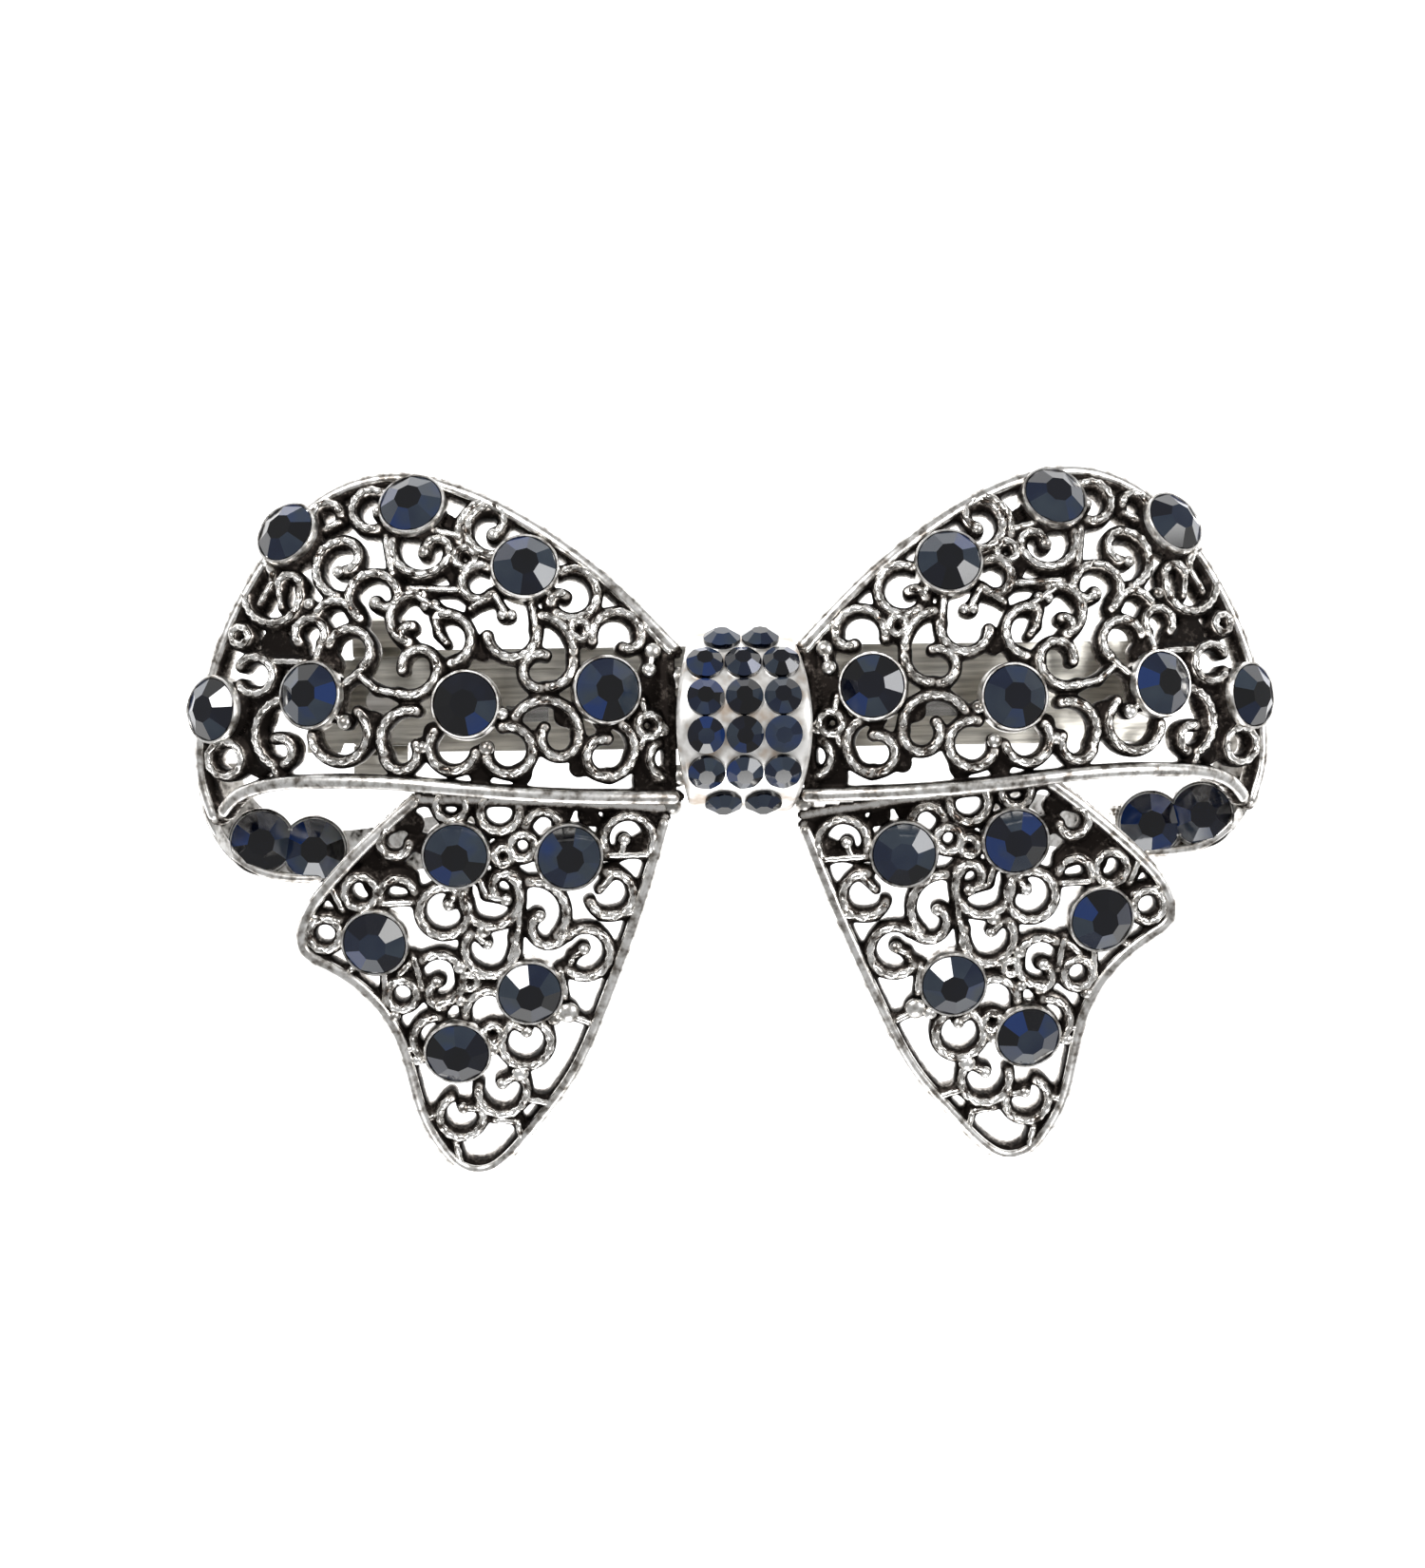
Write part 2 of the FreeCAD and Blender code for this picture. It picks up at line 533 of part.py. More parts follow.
def build_clip_base():
    """Arched plate with edge flanges, ribs, a lacing slot at each side and lugs for the rivet."""
    body = new_body("base_body")
    top = size("base_radius")
    under = top - size("base_plate")
    half = size("base_length") / 2
    plate = sketch_on(body, "XZ_Plane", "base_plate")
    arc_strip(plate, 0, BASE_CENTRE_Z, under, top, -half, half)
    pad(body, plate, "<base_width>")
    flange = sketch_on(body, "XZ_Plane", "base_flange")
    arc_strip(flange, 0, BASE_CENTRE_Z, under - size("base_flange"), under + 0.1, -24, 28)
    pad(body, flange, "<base_width>")
    hollow = sketch_on(body, "XZ_Plane", "base_hollow")
    arc_strip(hollow, 0, BASE_CENTRE_Z, under - size("base_flange") - 1, under, -25, 29)
    pocket(body, hollow, "<base_width> - 1.2")
    for number, offset in enumerate((-2.9, 1.3, 3.0)):
        rib = sketch_on(body, "XZ_Plane", f"base_rib_{number}", offset)
        arc_strip(rib, 0, BASE_CENTRE_Z, top - 0.1, top + size("base_rib"), -25, 30)
        pad(body, rib, "0.7")
    waist = sketch_on(body, "XY_Plane", "base_waist")
    for side in (-1, 1):
        closed_lines(waist, [(-32.0, side * 3.4), (-26.2, side * 3.4), (-25.2, side * 6), (-33.0, side * 6)])
    pocket(body, waist)
    slots = sketch_on(body, "XY_Plane", "lacing_slots")
    for x in (-17.0, 17.0):
        closed_lines(slots, [(x - 1.7, -1.8), (x + 1.7, -1.8), (x + 1.7, -0.5), (x - 1.7, -0.5)])
    circle_in(slots, CLASP_X, 0, "<rivet> + <seat_gap>")
    pocket(body, slots)
    lug_top = arch_height(BASE_CENTRE_Z, under, 33.5) + 0.2
    lug = size("lug")
    x, z = size("rivet_x"), size("rivet_z")
    for number, side in enumerate((-1, 1)):
        offset = side * (size("base_width") / 2 - 0.3)
        cheek = sketch_on(body, "XZ_Plane", f"base_lug_{number}", offset)
        round_end = Part.Circle(V(x, z, 0), V(0, 0, 1), lug)
        first = cheek.addGeometry(Part.ArcOfCircle(round_end, math.pi, 2 * math.pi))
        ends = [(x + lug, z), (x + 1.0, lug_top), (x - 2.4, lug_top + 0.1), (x - lug, z)]
        lines = [cheek.addGeometry(Part.LineSegment(V(*a, 0), V(*b, 0))) for a, b in zip(ends, ends[1:])]
        cheek.addConstraint(Sketcher.Constraint("Coincident", first, 2, lines[0], 1))
        cheek.addConstraint(Sketcher.Constraint("Coincident", lines[0], 2, lines[1], 1))
        cheek.addConstraint(Sketcher.Constraint("Coincident", lines[1], 2, lines[2], 1))
        cheek.addConstraint(Sketcher.Constraint("Coincident", lines[2], 2, first, 1))
        pad(body, cheek, "<base_plate>")
    eye = sketch_on(body, "XZ_Plane", "base_eye")
    circle_in(eye, x, z, "<rivet> + <rivet_gap>")
    pocket(body, eye)
    sub_part(body, "clip_base", clip_place())


def build_clip_arm():
    """Arched arm with a tapered tip, stiffening flanges and two lugs inside the base's."""
    body = new_body("arm_body")
    middle = 1.0
    reach = 32.4
    sag = 1.6
    radius = (reach ** 2 + sag ** 2) / (2 * sag)
    centre_z = sag - radius
    plate = sketch_on(body, "XZ_Plane", "arm_plate")
    arc_strip(plate, middle, centre_z, radius, radius + size("arm_plate"), -31.4, 33.2)
    pad(body, plate, "<arm_width>")
    taper = sketch_on(body, "XY_Plane", "arm_taper")
    for side in (-1, 1):
        closed_lines(taper, [(-24.0, side * 3.5), (-27.0, side * 2.9), (-30.4, side * 2.7),
                             (-31.0, side * 1.6), (-33.0, side * 1.4), (-33.0, side * 4.5),
                             (-24.0, side * 4.5)])
    pocket(body, taper)
    slot = sketch_on(body, "XY_Plane", "arm_window")
    closed_lines(slot, [(-21.0, -1.5), (22.0, -1.5), (23.0, 0), (22.0, 1.5), (-21.0, 1.5), (-22.0, 0)])
    pocket(body, slot)
    x, z, lug = size("rivet_x"), size("rivet_z"), size("lug") - 0.1
    foot = 0.15
    for number, side in enumerate((-1, 1)):
        cheek = sketch_on(body, "XZ_Plane", f"arm_lug_{number}", side * (size("arm_width") / 2 - 0.3))
        first = cheek.addGeometry(Part.ArcOfCircle(Part.Circle(V(x, z, 0), V(0, 0, 1), lug), 0, math.pi))
        ends = [(x - lug, z), (x - 3.4, foot + 0.5), (x - 3.4, foot), (x + 0.4, foot), (x + lug, z)]
        lines = [cheek.addGeometry(Part.LineSegment(V(*a, 0), V(*b, 0))) for a, b in zip(ends, ends[1:])]
        for before, after in zip([first] + lines, lines):
            cheek.addConstraint(Sketcher.Constraint("Coincident", before, 2, after, 1))
        cheek.addConstraint(Sketcher.Constraint("Coincident", lines[-1], 2, first, 1))
        pad(body, cheek, "<base_plate>")
    eye = sketch_on(body, "XZ_Plane", "arm_eye")
    circle_in(eye, x, z, "<rivet> + <rivet_gap>")
    pocket(body, eye)
    sub_part(body, "clip_arm", clip_place())


def build_tension_leaf():
    """Thin bowed leaf whose rolled eye turns on the hinge rivet."""
    body = new_body("leaf_body")
    x_eye, z_eye = size("rivet_x"), size("rivet_z")
    thick = size("leaf_plate")
    x_low, x_high = -25.8, 33.0
    crown, foot = 6.9, 3.45
    chord = x_high - x_low
    rise = crown - foot
    radius = (chord ** 2 / 4 + rise ** 2) / (2 * rise)
    centre_x = (x_low + x_high) / 2
    strip = sketch_on(body, "XZ_Plane", "leaf_strip")
    arc_strip(strip, centre_x, crown - radius, radius, radius + thick, x_low, x_high)
    pad(body, strip, "<leaf_width>")
    roll = sketch_on(body, "XZ_Plane", "leaf_roll")
    circle_in(roll, x_eye, z_eye, "<rivet> + <rivet_gap> + <leaf_plate>")
    pad(body, roll, "<leaf_width>")
    link = sketch_on(body, "XZ_Plane", "leaf_link")
    closed_lines(link, [(x_high - 1.5, 3.55), (x_high - 0.1, 3.4), (x_eye - 0.5, 3.3), (x_eye + 0.1, 3.6),
                        (x_high, 3.85), (x_high - 1.5, 3.95)])
    pad(body, link, "<leaf_width>")
    eye = sketch_on(body, "XZ_Plane", "leaf_eye")
    circle_in(eye, x_eye, z_eye, "<rivet> + <rivet_gap>")
    pocket(body, eye)
    sub_part(body, "tension_leaf", clip_place())


def build_hinge_rivet():
    """Shank through both pairs of lugs with a domed head at each end."""
    width = size("base_width")
    pieces = []
    shank = doc.addObject("Part::Cylinder", "rivet_shank")
    bind(shank, "Radius", "<rivet>")
    bind(shank, "Height", "<base_width> + 0.6")
    pieces.append((shank, -(width + 0.6) / 2))
    for number, side in enumerate((-1, 1)):
        head = doc.addObject("Part::Cylinder", f"rivet_head_{number}")
        bind(head, "Radius", "<rivet> * 1.6")
        bind(head, "Height", "0.35")
        pieces.append((head, side * (width / 2 + 0.02) - (0.35 if side < 0 else 0)))
    for piece, start in pieces:
        turn = FreeCAD.Rotation(V(1, 0, 0), -90)
        piece.Placement = FreeCAD.Placement(V(size("rivet_x"), start, size("rivet_z")), turn)
    rivet = doc.addObject("Part::MultiFuse", "rivet_whole")
    rivet.Shapes = [piece for piece, start in pieces]
    sub_part(rivet, "hinge_rivet", clip_place())


def build_clasp():
    """Bridge under the plate, its rivet, and two sprung ears that hook beside the arm's tip."""
    bridge_top = arch_height(BASE_CENTRE_Z, size("base_radius") - size("base_plate"), size("ear_x")) - 0.02
    bridge = new_body("bridge_body")
    outline = sketch_on(bridge, "XY_Plane", "bridge_outline", bridge_top)
    x0 = size("ear_x")
    x1 = x0 + size("ear_length")
    closed_lines(outline, [(x0, -3.5), (x1, -3.5), (x1, 3.5), (x0, 3.5)])
    circle_in(outline, CLASP_X, 0, "<rivet> + <seat_gap>")
    pad(bridge, outline, "<ear_plate>", symmetric=False, back=True)
    sub_part(bridge, "clasp_bridge", clip_place())

    low = bridge_top - size("ear_plate")
    top = arch_height(BASE_CENTRE_Z, size("base_radius"), CLASP_X)
    shank = doc.addObject("Part::Cylinder", "clasp_shank")
    bind(shank, "Radius", "<rivet>")
    shank.Height = top - low + 0.6
    shank.Placement.Base = V(CLASP_X, 0, low - 0.3)
    ends = [shank]
    for number, (start, height) in enumerate(((low - 0.32, 0.3), (top + 0.04, 0.3))):
        head = doc.addObject("Part::Cylinder", f"clasp_head_{number}")
        bind(head, "Radius", "<rivet> * 1.6")
        head.Height = height
        head.Placement.Base = V(CLASP_X, 0, start)
        ends.append(head)
    rivet = doc.addObject("Part::MultiFuse", "clasp_rivet_whole")
    rivet.Shapes = ends
    sub_part(rivet, "clasp_rivet", clip_place())

    pivot_z = bridge_top - 0.25
    for name, side in (("upper", 1), ("lower", -1)):
        ear = new_body(f"ear_{name}_body")
        profile = sketch_on(ear, "YZ_Plane", f"ear_{name}_profile", x0)
        outline = [(3.65, 0.75), (3.2, 0.75), (3.2, 0.25), (4.15, 0.25), (4.15, pivot_z - 0.5),
                   (4.7, pivot_z - 0.1), (6.8, pivot_z + 0.75), (6.6, pivot_z + 1.2),
                   (4.4, pivot_z + 0.35), (3.65, pivot_z - 0.25)]
        closed_lines(profile, [(side * y, z) for y, z in outline])
        pad(ear, profile, "<ear_length>", symmetric=False)
        sub_part(ear, f"clasp_ear_{name}", clip_place())


def build_knot():
    """Barrel-shaped band bent over the core, with a shallow seat for each small stone."""
    body = new_body("knot_body")
    radius, wall, z = size("knot_radius"), size("knot_wall"), size("knot_z")
    half = size("knot_width") / 2
    foot = 0.35
    arch = sketch_on(body, "YZ_Plane", "knot_arch")
    arcs = []
    for reach in (radius, radius - wall):
        hoop = Part.Circle(V(0, z, 0), V(0, 0, 1), reach)
        arcs.append(arch.addGeometry(Part.ArcOfCircle(hoop, 0, math.pi)))
    for tip, side in ((1, 1), (2, -1)):
        points = [(side * radius, z), (side * radius, z - foot), (side * (radius - wall), z - foot),
                  (side * (radius - wall), z)]
        lines = [arch.addGeometry(Part.LineSegment(V(*a, 0), V(*b, 0))) for a, b in zip(points, points[1:])]
        arch.addConstraint(Sketcher.Constraint("Coincident", arcs[0], tip, lines[0], 1))
        arch.addConstraint(Sketcher.Constraint("Coincident", lines[0], 2, lines[1], 1))
        arch.addConstraint(Sketcher.Constraint("Coincident", lines[1], 2, lines[2], 1))
        arch.addConstraint(Sketcher.Constraint("Coincident", lines[2], 2, arcs[1], tip))
    pad(body, arch, "<knot_width>")
    sides = sketch_on(body, "XY_Plane", "knot_sides")
    end_half = size("knot_end_width") / 2
    reach = radius + 1
    for side in (-1, 1):
        start, end = -side * reach, side * reach
        bow = Part.Arc(V(side * end_half, start, 0), V(side * half, 0, 0), V(side * end_half, end, 0))
        arc = sides.addGeometry(bow)
        far = side * (half + 2)
        points = [(side * end_half, end), (far, end), (far, start), (side * end_half, start)]
        lines = [sides.addGeometry(Part.LineSegment(V(*a, 0), V(*b, 0))) for a, b in zip(points, points[1:])]
        for before, after in zip([arc] + lines, lines + [arc]):
            sides.addConstraint(Sketcher.Constraint("Coincident", before, 2, after, 1))
    pocket(body, sides)
    drills = []
    stones = []
    small = crystal(size("small_stone"), size("small_girdle"), size("small_crown"))
    for number, (x, lean) in enumerate(knot_stones()):
        angle = math.radians(lean)
        normal = V(0, math.sin(angle), math.cos(angle))
        base = V(x, 0, z) + normal * (radius - 0.35)
        drill = doc.addObject("Part::Cylinder", f"knot_seat_{number}")
        bind(drill, "Radius", "<small_stone> + 0.02")
        drill.Height = 3
        drill.Placement = FreeCAD.Placement(base, FreeCAD.Rotation(V(0, 0, 1), normal))
        drills.append(drill)
        stone = small.copy()
        turn = FreeCAD.Rotation(V(0, 0, 1), normal) * FreeCAD.Rotation(V(0, 0, 1), 13 * number)
        stone.Placement = FreeCAD.Placement(base, turn)
        stones.append(stone)
    seats = doc.addObject("Part::MultiFuse", "knot_seats")
    seats.Shapes = drills
    band = doc.addObject("Part::Cut", "knot_cut")
    band.Base = body
    band.Tool = seats
    sub_part(band, "knot_band", knot_place())
    crystals = doc.addObject("Part::Feature", "knot_stones")
    crystals.Shape = Part.makeCompound(stones)
    sub_part(crystals, "knot_crystals", knot_place())

    core = new_body("core_body")
    inside = radius - wall - 0.05
    core_z = size("base_top") + size("base_rib") + 0.02
    profile = sketch_on(core, "YZ_Plane", "core_profile")
    rise = 14.4 - z
    lean = math.asin(rise / inside)
    hoop = Part.Circle(V(0, z, 0), V(0, 0, 1), inside)
    arc = profile.addGeometry(Part.ArcOfCircle(hoop, lean, math.pi - lean))
    wide = inside * math.cos(lean)
    points = [(-wide, 14.4), (-wide, core_z), (wide, core_z), (wide, 14.4)]
    lines = [profile.addGeometry(Part.LineSegment(V(*a, 0), V(*b, 0))) for a, b in zip(points, points[1:])]
    for before, after in zip([arc] + lines, lines):
        profile.addConstraint(Sketcher.Constraint("Coincident", before, 2, after, 1))
    profile.addConstraint(Sketcher.Constraint("Coincident", lines[-1], 2, arc, 1))
    pad(core, profile, "<knot_end_width> + 1.1")
    sub_part(core, "knot_core", knot_place())


def knot_stones():
    """Station along X and lean about the knot's axis for each of the knot's stones."""
    rows = [(65.0, (-1.55, 1.55)), (40.5, (-3.05, 0.0, 3.05)), (16.5, (-3.1, 0.0, 3.1)),
            (-7.0, (-3.1, 0.0, 3.1)), (-32.0, (-3.05, 0.0, 3.05)), (-60.0, (-1.6, 1.6))]
    return [(x, lean) for lean, stations in rows for x in stations]


def build_bands():
    """Returning half of each ribbon loop: a bent strip whose outer end meets the loop's underside."""
    bend = doc.addObject("Part::Feature", "band_bend")
    line = [(20.5, 9.3), (23.5, 8.2), (29.5, 3.4), (32.5, 2.2), (44.6, 2.2)]
    line += [(44.6, 1.0), (32.2, 1.0), (28.8, 2.3), (22.9, 7.1), (20.5, 8.0)]
    bend.Shape = Part.Face(Part.makePolygon([V(x, -20, z) for x, z in line + line[:1]]))
    strip = doc.addObject("Part::Extrusion", "band_strip")
    strip.Base = bend
    strip.DirMode = "Custom"
    strip.Dir = V(0, 1, 0)
    strip.LengthFwd = 30
    strip.Solid = True
    lower_line = [(44.0, -2.0), (44.0, -5.2), (43.0, -8.0), (41.3, -10.2)]
    lower_line += [(38.6, -11.6), (34.0, -11.9), (28.0, -11.2), (21.0, -9.9)]
    upper_line = [(21.0, -6.2), (28.0, -7.1), (33.0, -7.7), (37.0, -6.9), (39.6, -5.0), (40.8, -2.0)]
    lower = Part.BSplineCurve()
    lower.interpolate([V(x, y, 0) for x, y in lower_line])
    upper = Part.BSplineCurve()
    upper.interpolate([V(x, y, 0) for x, y in upper_line])
    outer_end = Part.LineSegment(V(44.0, -2.0, 0), V(40.8, -2.0, 0))
    inner_end = Part.LineSegment(V(21.0, -9.9, 0), V(21.0, -6.2, 0))
    ends = [outer_end, inner_end]
    outline = doc.addObject("Part::Feature", "band_outline")
    chain = Part.sortEdges([curve.toShape() for curve in [lower, upper] + ends])[0]
    outline.Shape = Part.Face(Part.Wire(chain))
    prism = doc.addObject("Part::Extrusion", "band_prism")
    prism.Base = outline
    prism.DirMode = "Custom"
    prism.Dir = V(0, 0, 1)
    prism.LengthFwd = 20
    prism.Solid = True
    flat = doc.addObject("Part::Common", "band_flat")
    flat.Base = strip
    flat.Tool = prism
    wall_face = doc.addObject("Part::Feature", "band_wall_outline")
    wall_face.Shape = ribbon([(43.5, -2.2), (43.5, -5.0), (42.5, -7.8), (41.2, -9.5)], 0.9)
    wall_prism = doc.addObject("Part::Extrusion", "band_wall_prism")
    wall_prism.Base = wall_face
    wall_prism.DirMode = "Custom"
    wall_prism.Dir = V(0, 0, 1)
    wall_prism.LengthFwd = 6
    wall_prism.LengthRev = -1
    wall_prism.Solid = True
    under = doc.addObject("Part::Sphere", "band_under_ball")
    bind(under, "Radius", "<dome_radius> - <shell> - 0.03")
    bind(under, "Placement.Base.x", "<dome_x>")
    bind(under, "Placement.Base.y", "<dome_y>")
    bind(under, "Placement.Base.z", "<dome_top> - <dome_radius>")
    wall = doc.addObject("Part::Common", "band_wall")
    wall.Base = wall_prism
    wall.Tool = under
    cups = []
    seats = []
    stones = []
    solid = crystal(size("stone"), size("stone_girdle"), size("stone_crown"))
    for number, (x, y) in enumerate(BAND_STONES, start=1):
        point = V(x, y, 2.2)
        up = V(0, 0, 1)
        cup_size = ("<stone> + <cup_wall>", "-1.2", "<cup_rise>")
        cups.append(cylinder_along(f"band_cup_{number}", point, up, *cup_size))
        seat_size = ("<stone> + <seat_gap>", "-<seat_depth>", "5")
        seats.append(cylinder_along(f"band_seat_{number}", point, up, *seat_size))
        stone = solid.copy()
        turn = FreeCAD.Rotation(up, 20 * number)
        stone.Placement = FreeCAD.Placement(point - up * size("seat_depth"), turn)
        stones.append(stone)
    blank = doc.addObject("Part::MultiFuse", "band_blank")
    blank.Shapes = [flat, wall] + cups
    drills = doc.addObject("Part::MultiFuse", "band_drills")
    drills.Shapes = seats
    band = doc.addObject("Part::Cut", "band_right")
    band.Base = blank
    band.Tool = drills
    left_and_right(band, "return_band", band_place(1), band_place(-1))
    crystals = doc.addObject("Part::Feature", "band_stones")
    crystals.Shape = Part.makeCompound(stones)
    left_and_right(crystals, "band_crystals", band_place(1), band_place(-1))


def build_solder():
    """Solder beads that join the castings to the core and the core to the clip."""
    beads = []
    for side in (-1, 1):
        for x, y, z, radius in ((5.0, 4.0, 12.9, 0.9), (5.0, -3.9, 13.1, 0.9), (5.4, -6.3, 10.6, 0.8),
                                (22.0, -7.8, 9.6, 0.8)):
            beads.append(Part.makeSphere(radius, V(side * x, y, z)))
    fillet = Part.makeBox(7.0, 5.0, 0.7, V(-3.5, size("clip_y") - 2.5, size("base_top") - 0.25))
    feature = doc.addObject("Part::Feature", "solder")
    feature.Shape = Part.makeCompound(beads + [fillet])
    sub_part(feature, "solder_joints")


build_loops()
build_tails()
build_panel_stones()
build_bands()
build_knot()
build_clip_base()
build_clip_arm()
build_tension_leaf()
build_hinge_rivet()
build_clasp()
build_solder()
doc.recompute()

for label, (feature, place) in PLACES.items():
    feature.Placement = place
doc.recompute()
faults = [item.Name for item in doc.Objects if {"Invalid", "Error"} & set(item.State)]
for label, (feature, place) in PLACES.items():
    if feature.Shape.isNull() or not feature.Shape.isValid():
        faults.append(label)
if faults:
    raise RuntimeError(f"failed features: {faults}")
os.makedirs("parts", exist_ok=True)
for label, (feature, place) in PLACES.items():
    feature.Shape.exportStep(f"parts/{label}.step")
    box = feature.Shape.BoundBox
    print(f"{label}: {len(feature.Shape.Solids)} solid(s), {feature.Shape.Volume:.1f} mm3,",
          f"z {box.ZMin:.2f} to {box.ZMax:.2f}")
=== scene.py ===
"""Looks of the openwork bow: cast scrollwork, ridge wires, faceted crystals, knot and clip finishes."""
import math

import bpy
import numpy as np
from mathutils import Matrix, Vector


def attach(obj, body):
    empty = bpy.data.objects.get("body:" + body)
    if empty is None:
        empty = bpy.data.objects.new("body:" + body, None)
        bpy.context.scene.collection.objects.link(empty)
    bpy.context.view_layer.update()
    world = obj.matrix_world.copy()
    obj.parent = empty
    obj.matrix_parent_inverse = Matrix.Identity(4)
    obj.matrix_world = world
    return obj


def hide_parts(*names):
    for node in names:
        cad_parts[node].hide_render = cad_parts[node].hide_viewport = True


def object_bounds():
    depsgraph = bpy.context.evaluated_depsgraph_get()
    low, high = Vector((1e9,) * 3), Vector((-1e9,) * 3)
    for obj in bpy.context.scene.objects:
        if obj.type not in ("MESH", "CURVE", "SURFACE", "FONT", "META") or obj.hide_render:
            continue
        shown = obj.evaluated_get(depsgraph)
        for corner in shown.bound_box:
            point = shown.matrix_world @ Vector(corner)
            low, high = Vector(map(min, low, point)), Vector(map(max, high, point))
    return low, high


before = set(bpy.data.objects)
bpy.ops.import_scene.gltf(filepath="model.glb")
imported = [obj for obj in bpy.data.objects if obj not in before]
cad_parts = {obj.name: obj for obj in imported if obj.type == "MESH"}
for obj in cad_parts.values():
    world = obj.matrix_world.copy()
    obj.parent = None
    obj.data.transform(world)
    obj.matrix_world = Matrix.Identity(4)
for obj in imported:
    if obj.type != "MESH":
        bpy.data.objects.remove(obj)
cad_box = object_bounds()

MM = 0.001
# Millimetres, as in the CAD model.
KNOT_Y = 7.9
SHELLS = {"loop": (38.0, 17.0, -1.0, 16.0), "tail": (72.0, 18.0, 1.5, 12.7)}   # radius, centre x, y, top
TAIL_TURN = math.radians(2.1)
TAIL_PIVOT = (16.0, -8.0)
THICKNESS = 1.5
WIRE = 1.0
RIM = 1.15
STONE_R, GIRDLE, CROWN = 2.5, 0.9, 1.05
SMALL_R, SMALL_GIRDLE, SMALL_CROWN = 1.5, 0.55, 0.65
SEAT_DEPTH = 0.5
TABLE_SHARE = 0.46             # table corner's reach as a share of the stone's radius
CROWN_SHARE = 1.01             # crown facets start just outside the girdle
TAIL_SHIFT = -0.35             # both tails sit a little towards the clasp
BAND_SHIFT = 0.55              # the left band hangs lower, the right one higher
BAND_DROP = 0.13
KNOT_SHIFT = (0.2, 0.35)
KNOT_R, KNOT_Z, KNOT_HALF, KNOT_BOW = 7.35, 10.8, 5.45, 22.2
KNOT_WALL = 1.1
GRID = 0.13                    # spacing of the cast web's mesh
rng = np.random.default_rng(7)

# ---------------------------------------------------------------- scrollwork, right-hand side
# Every scroll is an arc: centre x, y, radius, start and end angle. The left side mirrors it.
LOOP_SCROLLS = [
    # crown of the loop
    (29.4, 18.0, 1.6, -105, 120), (28.8, 18.7, 0.8, 110, 270), (33.1, 17.6, 1.1, -20, 170),
    (31.7, 13.2, 2.3, -75, 85), (31.7, 14.3, 1.2, 85, 260), (25.4, 15.0, 2.4, -165, 10),
    (24.1, 14.5, 1.0, 0, 190), (19.7, 16.1, 2.0, -110, 85), (19.8, 17.0, 1.1, 85, 255),
    (19.6, 15.8, 2.8, -10, 80), (21.9, 13.9, 0.8, -180, 180), (20.8, 11.9, 1.4, -120, 120),
    # outer shoulder
    (37.6, 11.2, 2.3, 170, 370), (36.2, 11.9, 0.9, -5, 170), (38.8, 12.7, 1.2, 0, 190),
    (40.3, 7.9, 0.7, -180, 180), (39.1, 4.7, 1.5, 30, 330), (34.5, 8.0, 1.2, -35, 220),
    (32.4, 8.9, 1.7, 20, 160), (31.3, 6.6, 1.7, 15, 230),
    # middle
    (29.3, 10.8, 2.0, -55, 165), (28.3, 11.0, 1.0, 165, 330), (26.0, 9.1, 2.0, -75, 110),
    (26.4, 7.8, 0.7, -75, 105), (23.5, 7.4, 2.0, 70, 260), (25.7, 5.2, 1.4, -10, 180),
    (26.6, 5.3, 2.4, -180, -70), (18.2, 7.8, 2.0, 170, 355), (16.3, 6.2, 3.0, 100, 180),
    (15.4, 5.5, 2.1, -180, -90), (16.0, 4.7, 1.4, -90, 110),
    # towards the knot
    (13.3, 10.9, 2.0, 65, 310), (14.3, 10.1, 0.8, 10, 130), (12.8, 8.0, 0.7, -180, 180),
    (9.8, 7.4, 2.0, -10, 175), (8.8, 7.4, 1.0, 175, 300),
    (7.3, 0.2, 0.9, -180, 180), (5.8, -2.5, 1.5, -80, 60),
    # lower row, from the fold to the knot
    (41.7, -2.1, 1.4, -180, 180), (36.2, -0.1, 2.9, -60, 80), (37.2, -1.5, 1.1, 70, 250),
    (32.2, -0.1, 2.3, 130, 355), (26.6, -0.6, 2.3, -30, 105), (27.3, -1.7, 1.4, 155, 335),
    (23.1, -1.3, 1.9, -165, 40), (18.6, -1.6, 1.9, 75, 340), (15.7, -0.3, 2.7, 30, 180),
    (14.5, -0.7, 1.5, -180, 35), (10.8, -1.6, 2.3, 125, 260), (10.9, -2.3, 1.5, -100, 100),
]
# A strut is a short straight bar between two points.
LOOP_STRUTS = [
    (27.4, 3.0, 29.2, 3.4), (29.2, 3.4, 30.5, 4.5), (30.1, 5.2, 31.9, 3.8), (33.6, 7.2, 34.1, 5.9),
    (37.1, 11.8, 36.9, 10.2), (37.5, 12.5, 38.7, 10.5), (16.3, 8.1, 16.6, 10.3), (21.5, 9.8, 19.7, 11.1),
    (37.7, -2.6, 37.4, -3.4), (6.5, 0.7, 5.7, -0.3), (5.7, -0.3, 6.6, -0.5), (7.6, 1.1, 7.8, 2.3),
    (7.7, -0.6, 8.0, -1.6), (24.4, 9.1, 24.1, 7.9), (24.1, 7.9, 23.5, 7.1), (24.4, 16.2, 22.3, 15.7),
    (26.5, 11.5, 22.3, 11.3), (37.6, 5.8, 35.0, 5.7), (28.3, 15.8, 27.8, 12.8), (33.3, 16.5, 32.1, 17.1),
    (7.6, 8.3, 5.4, 5.9), (31.8, 0.8, 33.0, 1.7), (7.2, 4.7, 6.9, 6.2), (18.6, 9.2, 19.7, 11.1),
    (26.0, 11.0, 23.4, 9.4), (14.9, 10.6, 15.8, 11.5), (19.1, 1.3, 20.0, 1.6),
]
